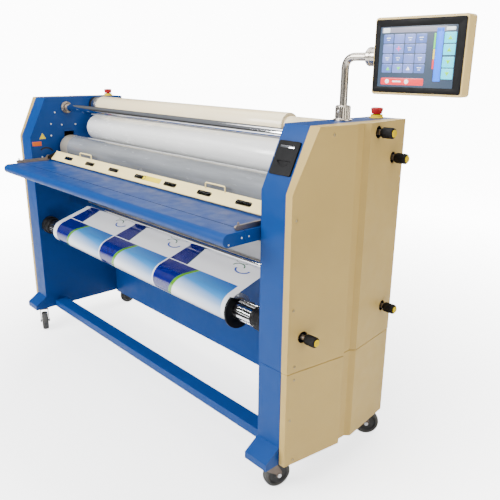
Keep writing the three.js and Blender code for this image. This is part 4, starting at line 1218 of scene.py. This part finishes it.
# ---------------------------------------------------------------------------
# Brake knobs
# ---------------------------------------------------------------------------
def brake_knobs():
    for label in ("liner", "film", "media", "rewind"):
        node = f"brake_knob_{label}"
        tip = extent(node)[1]
        near, far = tip - 47, tip - 3
        centre = axis_centre(node)

        def ribs(r, angle):
            return r - 0.9 * (0.5 + 0.5 * math.cos(angle * 30)) if r > 16.2 else r

        neck = lathe(
            "neck", softened([(0, 934.5), (9, 934.5), (9, near + 1), (0, near + 1)], 0.8),
            centre, X, ARM_STEEL, 48,
        )
        grip = lathe(
            "grip",
            [(0, near), (12, near), (14.5, near + 0.8), (16, near + 3), (17.4, near + 6),
             (17.4, far - 5), (16, far - 2), (13, far), (0, far)],
            centre, X, BLACK, 240, ribs, sharp=50,
        )
        cap = lathe(
            "cap",
            [(0, far - 0.5), (11.6, far - 0.5), (11.6, far + 1.6), (10.8, far + 2.6), (7, far + 2.9),
             (0, far + 2.9)],
            centre, X, YELLOW, 48,
        )
        finish_piece(joined(f"knob_{label}", [neck, grip, cap]), f"knob_{label}",
                     "black_plastic", node)
        face = cover_face_x((centre.y - ORIGIN.y) / MM)
        # painted shade: a near-black cup lining the cover's hole round the knob's neck, for the shade
        # inside the hole
        recess = lathe(
            f"knob_recess_shade_{label}",
            [(9.6, face - 22), (19.7, face - 22), (19.7, face - 3.2), (18.9, face - 3.2),
             (18.9, face - 21), (9.6, face - 21)],
            centre, X, PAINTED_SHADE, 64,
        )
        finish_piece(recess, "machine", "black_plastic")


# ---------------------------------------------------------------------------
# Emergency stops
# ---------------------------------------------------------------------------
Z = (0, 0, 1)


def emergency_stops():
    for label in SIDES:
        low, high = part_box(f"estop_base_{label}")
        centre = Vector(((low.x + high.x) / 2, (low.y + high.y) / 2, low.z))
        base = lathe(
            f"stop_collar_{label}",
            softened([(10.8, 0), (24.8, 0), (24.8, 2.6), (21.2, 4.6), (20.6, 11.9), (19.6, 11.9),
                      (19.6, 7.2), (10.8, 7.2)], 0.8),
            centre, Z, YELLOW, 72,
        )
        finish_piece(base, "machine", "yellow_plastic", f"estop_base_{label}")

        def scallop(r, angle):
            return r - 0.5 * (0.5 + 0.5 * math.cos(angle * 24)) if r > 18.5 else r

        stem = lathe("stem", [(0, 6.2), (9.8, 6.2), (9.8, 15), (0, 15)], centre, Z, BLACK, 48)
        cap = lathe(
            "cap",
            [(0, 14), (16, 14), (17, 14.6), (18.8, 20), (20.6, 28.5), (20.8, 31),
             (19.6, 33.4), (16, 34.8), (9, 35.3), (0, 35.4)],
            centre, Z, RED, 144, scallop, sharp=45,
        )
        finish_piece(joined(f"stop_mushroom_{label}", [stem, cap]), f"estop_{label}",
                     "red_plastic", f"estop_button_{label}")


# ---------------------------------------------------------------------------
# Nip guard
# ---------------------------------------------------------------------------
GUARD_LOW, GUARD_HIGH, PIVOT = (87, 946), (122, 985), (77, 956)


def nip_guard():
    run, rise = GUARD_HIGH[0] - GUARD_LOW[0], GUARD_HIGH[1] - GUARD_LOW[1]
    height = math.hypot(run, rise)
    centre = at(0, (GUARD_LOW[0] + GUARD_HIGH[0]) / 2, (GUARD_LOW[1] + GUARD_HIGH[1]) / 2)
    face = frame_at(centre, (1, 0, 0), (0, run, rise))
    lift = face @ Matrix.Translation((0, 0, -1.25 * MM))
    outlines = [rounded_outline(1644, height, 4)]
    for i in range(-3, 4):
        outlines.append([(a + i * 218, b) for a, b in rounded_outline(78, 15, 5.5)])
    strip = plate("strip", outlines, 2.5, lift, IVORY, 0.6)
    lips = []
    for i in range(-3, 4):
        rim = [[(a + i * 218, b) for a, b in rounded_outline(82, 19, 7.4)],
               [(a + i * 218, b) for a, b in rounded_outline(77.4, 14.4, 5.3)]]
        lips.append(plate("lip", rim, 3.3, face @ Matrix.Translation((0, 0, -1.65 * MM)), BLACK, 0.4))
    label = plate(
        "label", [[(24, -10), (152, -10), (152, 12), (24, 12)]], 0.25,
        face @ Matrix.Translation((0, 0, 1.2 * MM)), LABEL_YELLOW, 0.05,
    )
    parts = [strip, *lips, label]
    for x in (-502, 482):
        y, top = GUARD_HIGH[0] - 3, GUARD_HIGH[1] + 22 - 3
        corners = [at(x - 56, y, 980), at(x - 56, y, top), at(x + 56, y, top), at(x + 56, y, 980)]
        parts.append(sweep("wire", bend_points(corners, 8), 2.9, IVORY))
    for side in SIDES.values():
        outline = [
            (PIVOT[0] - 7, PIVOT[1] - 6), GUARD_LOW, GUARD_HIGH, (PIVOT[0] - 5, PIVOT[1] + 7)
        ]
        x = side * 820
        place = side_plane(x - 2)
        parts.append(plate("bracket", [outline], 4, place, SATIN_BLACK, 0.8))
        pin = at(0, *PIVOT)
        ends = (820, 833.5) if side > 0 else (-833.5, -820)
        parts.append(
            lathe("pin", softened([(0, ends[0]), (4, ends[0]), (4, ends[1]), (0, ends[1])], 0.5),
                  Vector((ORIGIN.x, pin.y, pin.z)), X, GROUND_STEEL, 32)
        )
    finish_piece(joined("nip_guard_strip", parts), "nip_guard", "ivory_paint", "nip_guard")


# ---------------------------------------------------------------------------
# Table details
# ---------------------------------------------------------------------------
def table_details():
    """Screws on the end plates."""
    deck, flap = [], []
    for side in SIDES.values():
        for y, z in ((-45, 918), (85, 918)):
            deck.append(screw("head", at(side * 844.8, y, z), (side, 0, 0), 3.2, ZINC_SCREW))
        for y, z in ((-75, 918), (-128, 905)):
            flap.append(screw("head", at(side * 844.8, y, z), (side, 0, 0), 3.2, ZINC_SCREW))
    # painted shade: a near-black strip laid in the gap between the deck and the flap, for the shade
    # inside the seam
    seam = rounded_box("table_seam_shade", at(-844, -61.4, 938.8), at(844, -58.6, 939.25), 0.1, PAINTED_SHADE, 1)
    finish_piece(seam, "machine", "black_plastic")
    finish_piece(joined("deck_end_screws", deck), "machine", "shaft_steel")
    finish_piece(joined("flap_end_screws", flap), "table_flap", "shaft_steel")


# ---------------------------------------------------------------------------
# Control panel on the slope
# ---------------------------------------------------------------------------
def control_panel():
    dress("control_panel", SATIN_BLACK, 0.8)
    slope = Vector((0, 95, 193)).normalized()
    out = Vector((1, 0, 0)).cross(slope)
    centre = at(903.5, 0, 1059) + slope * 107 * MM + out * 6.2 * MM
    place = frame_at(centre, (1, 0, 0), slope)
    bar = plate(
        "panel_bar", [[(a - 2, b + 34) for a, b in rounded_outline(58, 7, 3)]], 1.6, place,
        CHROME, 0.5,
    )
    finish_piece(bar, "machine", "chrome")
    smile = []
    for radius, order in ((31.5, 1), (28.5, -1)):
        angles = [math.radians(205 + 130 * k / 20) for k in range(21)][::order]
        smile += [(radius * math.cos(a), 4 + radius * math.sin(a)) for a in angles]
    lip = plate("panel_pull_lip", [smile], 1.4, place, BLACK, 0.5)
    finish_piece(lip, "machine", "black_plastic")


# ---------------------------------------------------------------------------
# Touch-screen panel and its arm
# ---------------------------------------------------------------------------
TILT_AXIS_Z = 1448  # height of the axis on which the operator panel tilts


def panel_frame():
    """Axes of the operator panel's group: the post's axis, turned with the arm."""
    turn = Matrix.Rotation(math.radians(3), 4, "Z")
    return Matrix.Translation(at(900, 310, 0)) @ turn


def panel_arm():
    place = panel_frame()

    def spot(x, y, z):
        return place @ (Vector((x, y, z)) * MM)

    along = place.to_3x3() @ Vector(X)

    def flutes(r, angle):
        return r - 1.1 * max(0, math.cos(angle * 16)) ** 2 if 23.5 < r < 25.5 else r

    base = 1252.3
    clamp = lathe(
        "panel_post_clamp",
        softened([(13.2, 0), (31, 0), (31, 4.6), (25.6, 6.6), (24.8, 8), (24.8, 44), (22, 48),
                  (13.2, 48)], 1.0),
        spot(0, 0, base), Z, TUBE_STEEL, 192, flutes,
    )
    bolt = screw("clamp_bolt", spot(0, -24.6, base + 30), place.to_3x3() @ Vector((0, -1, 0)),
                 4.5, ZINC_SCREW)
    finish_piece(joined("panel_clamp", [clamp, bolt]), "machine", "arm_tube", "hmi_clamp")
    corners = [spot(0, 0, 1256), spot(0, 0, TILT_AXIS_Z), spot(83.5, 0, TILT_AXIS_Z)]
    arm = sweep("panel_tube", refined_points(bend_points(corners, 38, 16)), 12.4, TUBE_STEEL, 48)
    finish_piece(arm, "panel_arm", "arm_tube", "hmi_arm")
    collar = lathe(
        "panel_tilt_joint",
        softened([(12.9, 84), (23, 84), (28, 89.5), (28, 99), (26.6, 100), (26.6, 104), (28, 105),
                  (28, 119.5), (12.9, 119.5)], 0.8),
        spot(0, 0, TILT_AXIS_Z), along, TUBE_STEEL, 96,
    )
    finish_piece(collar, "panel_arm", "arm_tube", "hmi_tilt_collar")


def refined_points(points, spacing=0.01):
    result = [points[0]]
    for a, b in zip(points, points[1:]):
        steps = max(1, math.ceil((b - a).length / spacing))
        result += [a.lerp(b, k / steps) for k in range(1, steps + 1)]
    return result


UI = {
    "ground": glow("screen_ground", srgb(52, 66, 84), 0.9),
    "header": glow("screen_header", srgb(132, 132, 148), 0.9),
    "light": glow("screen_light", srgb(226, 236, 240), 0.9),
    "key": glow("screen_key", srgb(104, 122, 190), 1.1),
    "key_dark": glow("screen_key_dark", srgb(80, 104, 172), 1.1),
    "pink": glow("screen_pink", srgb(232, 96, 160), 0.9),
    "green": glow("screen_green", srgb(96, 214, 92), 0.9),
    "lime": glow("screen_lime", srgb(120, 220, 40), 0.9),
    "red": glow("screen_red", srgb(226, 40, 52), 1.2),
    "white": glow("screen_white", srgb(246, 248, 250), 1.0),
    "blue": glow("screen_blue", srgb(0, 104, 240), 1.8),
    "cyan": glow("screen_cyan", srgb(0, 190, 215), 2.2),
    "yellow": glow("screen_yellow", srgb(236, 210, 70), 0.9),
}


RAISED = ("pink", "green", "white", "lime", "light")  # tiles that lie on other tiles
LAYOUT = (232, 172)
LCD = (236, 164)  # lit area
LCD_SHIFT = (-4, -2)  # from the housing's middle
BEZEL = (275, 200)


def screen_layout():
    """(colour, outline) tiles of the screen in mm from its middle, LAYOUT in size."""
    tiles = []

    def block(colour, x, y, w, h, r=1.5):
        tiles.append((colour, [(a + x, b + y) for a, b in rounded_outline(w, h, r, 3)]))

    def triangle(colour, x, y, size, up=True):
        k = 1 if up else -1
        tiles.append((colour, [(x - size, y - k * size * 0.8), (x + size, y - k * size * 0.8),
                               (x, y + k * size * 0.9)][::k]))

    block("header", -12, 76, 196, 14)
    block("light", -96, 76, 22, 13)
    for row in range(4):
        for column in range(4):
            x, y = -88 + column * 34, 52 - row * 28
            block("key" if (row + column) % 3 else "key_dark", x, y, 31.5, 25.5, 2.5)
            if row == 1 and column == 1:
                block("pink", x, y, 14, 3.4, 1)
                block("pink", x, y, 3.4, 14, 1)
            elif row == 3 and column < 2:
                triangle("green", x + 4, y - 1, 6, column == 0)
            elif row == 3 and column == 2:
                triangle("white", x, y, 6)
            elif (row * 4 + column) % 3 != 1:
                block("light", x, y + 2, 13, 2.2, 0.8)
                block("light", x, y - 4, 8, 1.8, 0.8)
    block("red", -37, -70, 134, 20, 3)
    for x in (-84, -22):
        tiles.append(("white", circle_outline(6.5, 28, (x, -70))))
    block("white", -53, -70, 28, 4, 1.5)
    for colour, y, h in (("green", 44, 42), ("yellow", 8, 28), ("red", -20, 26)):
        block(colour, 54, y, 5, h, 1)
    block("blue", 68, 6, 20, 146, 1)
    for y, up in ((52, True), (20, True), (-14, False), (-46, False)):
        block("cyan", 97, y, 33, 29, 2)
        triangle("lime", 97, y, 7, up)
    block("light", 97, 76, 26, 9, 2)
    return tiles


def touch_panel():
    place = panel_frame()
    width, depth, height = 285, 50, 214
    low, high = (124, -38), (124 + width, -38 + depth)
    centre_x = (low[0] + high[0]) / 2

    def facing(y, dx=0, dz=0):
        """Local X across, local Y up, facing the operator, at a depth y."""
        base = Matrix.Translation(Vector((centre_x + dx, y, TILT_AXIS_Z + dz)) * MM)
        return place @ base @ Matrix.Rotation(math.radians(90), 4, "X")

    def shifted(outline):
        return [(a + LCD_SHIFT[0], b + LCD_SHIFT[1]) for a, b in outline]

    proud = 2  # the bezel in front of the housing
    shell = plate("shell", [rounded_outline(width, height, 9, 8)], depth - proud,
                  facing(high[1]), HOUSING, 5)
    rim = plate(
        "rim", [rounded_outline(*BEZEL, 6, 6), shifted(rounded_outline(*LCD, 3, 4))],
        proud + 0.2, facing(low[1] + proud + 0.2), SATIN_BLACK, 0.6,
    )
    glass = plate("glass", [shifted(rounded_outline(LCD[0] + 2, LCD[1] + 2, 3, 4))], 1.0,
                  facing(low[1] + proud), UI["ground"], 0.2)
    stub = lathe(
        "stub", softened([(0, 92), (12, 92), (12, 126), (0, 126)], 0.6),
        place @ (Vector((0, 0, TILT_AXIS_Z)) * MM), place.to_3x3() @ Vector(X), SATIN_STEEL, 48,
    )
    # painted shade: near-black strips on the housing's back, for the shade inside its vent slots
    vents = [
        plate("vent_shade", [rounded_outline(70, 3, 1.4, 3)], 0.5,
              facing(high[1] + 0.3, 30, -60 + 9 * k), PAINTED_SHADE, 0.1)
        for k in range(6)
    ]
    flanges = [
        screw("head", (facing(high[1]) @ Vector((a * 0.128, b * 0.093, 0.0))),
              place.to_3x3() @ Vector((0, 1, 0)), 3.5, ZINC_SCREW)
        for a in (-1, 1)
        for b in (-1, 1)
    ]
    finish_piece(joined("panel_housing", [shell, stub, *vents, *flanges]), "panel",
                 "housing_cream", "hmi_housing")
    keys = [
        plate(
            "tile",
            [shifted([(a * LCD[0] / LAYOUT[0], b * LCD[1] / LAYOUT[1]) for a, b in outline])],
            0.25 + 0.1 * (i % 2) + (0.2 if colour in RAISED else 0),
            facing(low[1] + 1.05), UI[colour], 0.05,
        )
        for i, (colour, outline) in enumerate(screen_layout())
    ]
    finish_piece(joined("panel_screen", [rim, glass, *keys]), "panel", "screen",
                 "hmi_touch_panel")


# ---------------------------------------------------------------------------
# Casters
# ---------------------------------------------------------------------------
CASTERS = {
    "front_left": (-1, 0, -20), "front_right": (1, 0, 75),
    "rear_left": (-1, 505, 100), "rear_right": (1, 505, 42),
}
TRAIL = 38  # from the swivel axis to the wheel's axle
HUB_Z = 50  # height of the axle


def casters():
    for label, (side, y, heading) in CASTERS.items():
        place = Matrix.Translation(at(side * 900, y, 0)) @ Matrix.Rotation(
            math.radians(heading), 4, "Z"
        )
        turn = place.to_3x3()

        def spot(a, b, c):
            return place @ (Vector((a, b, c)) * MM)

        plate_top = lathe(
            "plate", softened([(6, 119), (29.8, 119), (29.8, 124.6), (6, 124.6)], 0.8),
            spot(0, 0, 0), Z, CAST, 48,
        )
        race = lathe(
            "race", softened([(6, 114), (20, 114), (22, 115.6), (20.5, 119), (6, 119)], 0.6),
            spot(0, 0, 0), Z, GROUND_STEEL, 48,
        )
        outline = [
            (-20, 115), (-18, 100), (-8, 80), (TRAIL - 11, HUB_Z + 6), (TRAIL - 11, HUB_Z - 3),
            (TRAIL - 7, HUB_Z - 8), (TRAIL + 5, HUB_Z - 8), (TRAIL + 10, HUB_Z - 3),
            (TRAIL + 10, HUB_Z + 13), (30, 96), (24, 115),
        ]
        outline = outline[::-1]
        legs = []
        for inner in (19, -22):
            leg = plate(
                "leg", [outline], 3,
                place @ Matrix.Translation((0, (inner + 3) * MM, 0))
                @ Matrix.Rotation(math.radians(90), 4, "X"),
                FORK_ZINC, 0.8,
            )
            legs.append(leg)
        crown = rounded_box_at("crown", place, (-20, -22, 106), (24, 22, 115.5), 3, FORK_ZINC)
        axle = lathe(
            "axle", softened([(0, -25.8), (4.9, -25.8), (4.9, 25.8), (0, 25.8)], 0.5),
            spot(TRAIL, 0, HUB_Z), turn @ Vector((0, 1, 0)), ZINC_SCREW, 32,
        )
        nuts = [
            lathe("nut", [(0, 0), (8, 0), (8, 2.8), (7, 3.4), (0, 3.4)],
                  spot(TRAIL, k * 22, HUB_Z), turn @ Vector((0, k, 0)), ZINC_SCREW, 6)
            for k in (-1, 1)
        ]
        finish_piece(
            joined(f"caster_yoke_{label}", [plate_top, race, crown, axle, *legs, *nuts]),
            f"fork_{label}", "fork_metal", f"caster_fork_{label}",
        )
        axis = turn @ Vector((0, 1, 0))
        tyre = lathe(
            "tyre",
            softened([(37, -14.5), (44, -15.8), (48.4, -12.5), (50, -6), (50, 6), (48.4, 12.5),
                      (44, 15.8), (37, 14.5)], 2.0),
            spot(TRAIL, 0, HUB_Z), axis, RUBBER, 96,
        )
        disc = lathe(
            "disc",
            softened([(5.8, -15.5), (14, -15.5), (16, -10), (33, -8.5), (37.4, -14), (37.4, 14),
                      (33, 8.5), (16, 10), (14, 15.5), (5.8, 15.5)], 1.2),
            spot(TRAIL, 0, HUB_Z), axis, WHEEL_DISC, 72,
        )
        finish_piece(joined(f"caster_roller_{label}", [tyre, disc]), f"wheel_{label}", "tyre",
                     f"caster_wheel_{label}")


def rounded_box_at(name, place, low, high, radius, material):
    obj = rounded_box(name, Vector(low) * MM, Vector(high) * MM, radius, material)
    obj.data.transform(place)
    return obj


# ---------------------------------------------------------------------------
# Everything together
# ---------------------------------------------------------------------------
build_camera()
build_stage()
dress_structure()
cover_details()
wall_details()
wall_labels()
nip_rollers()
roll("film_supply_roll", "film_roll", "film", "film", WHITE_FILM, FILM_EDGE, 42)
roll("liner_takeup_roll", "liner_roll", "liner", "liner_paper", LINER_PAPER, LINER_EDGE, 40.3)
shafts()
bar_flanges()
liner_arbor()
media_arbor()
media_fittings()
printed_roll(printed_web())
film_web()
brake_knobs()
emergency_stops()
nip_guard()
table_details()
control_panel()
panel_arm()
touch_panel()
casters()
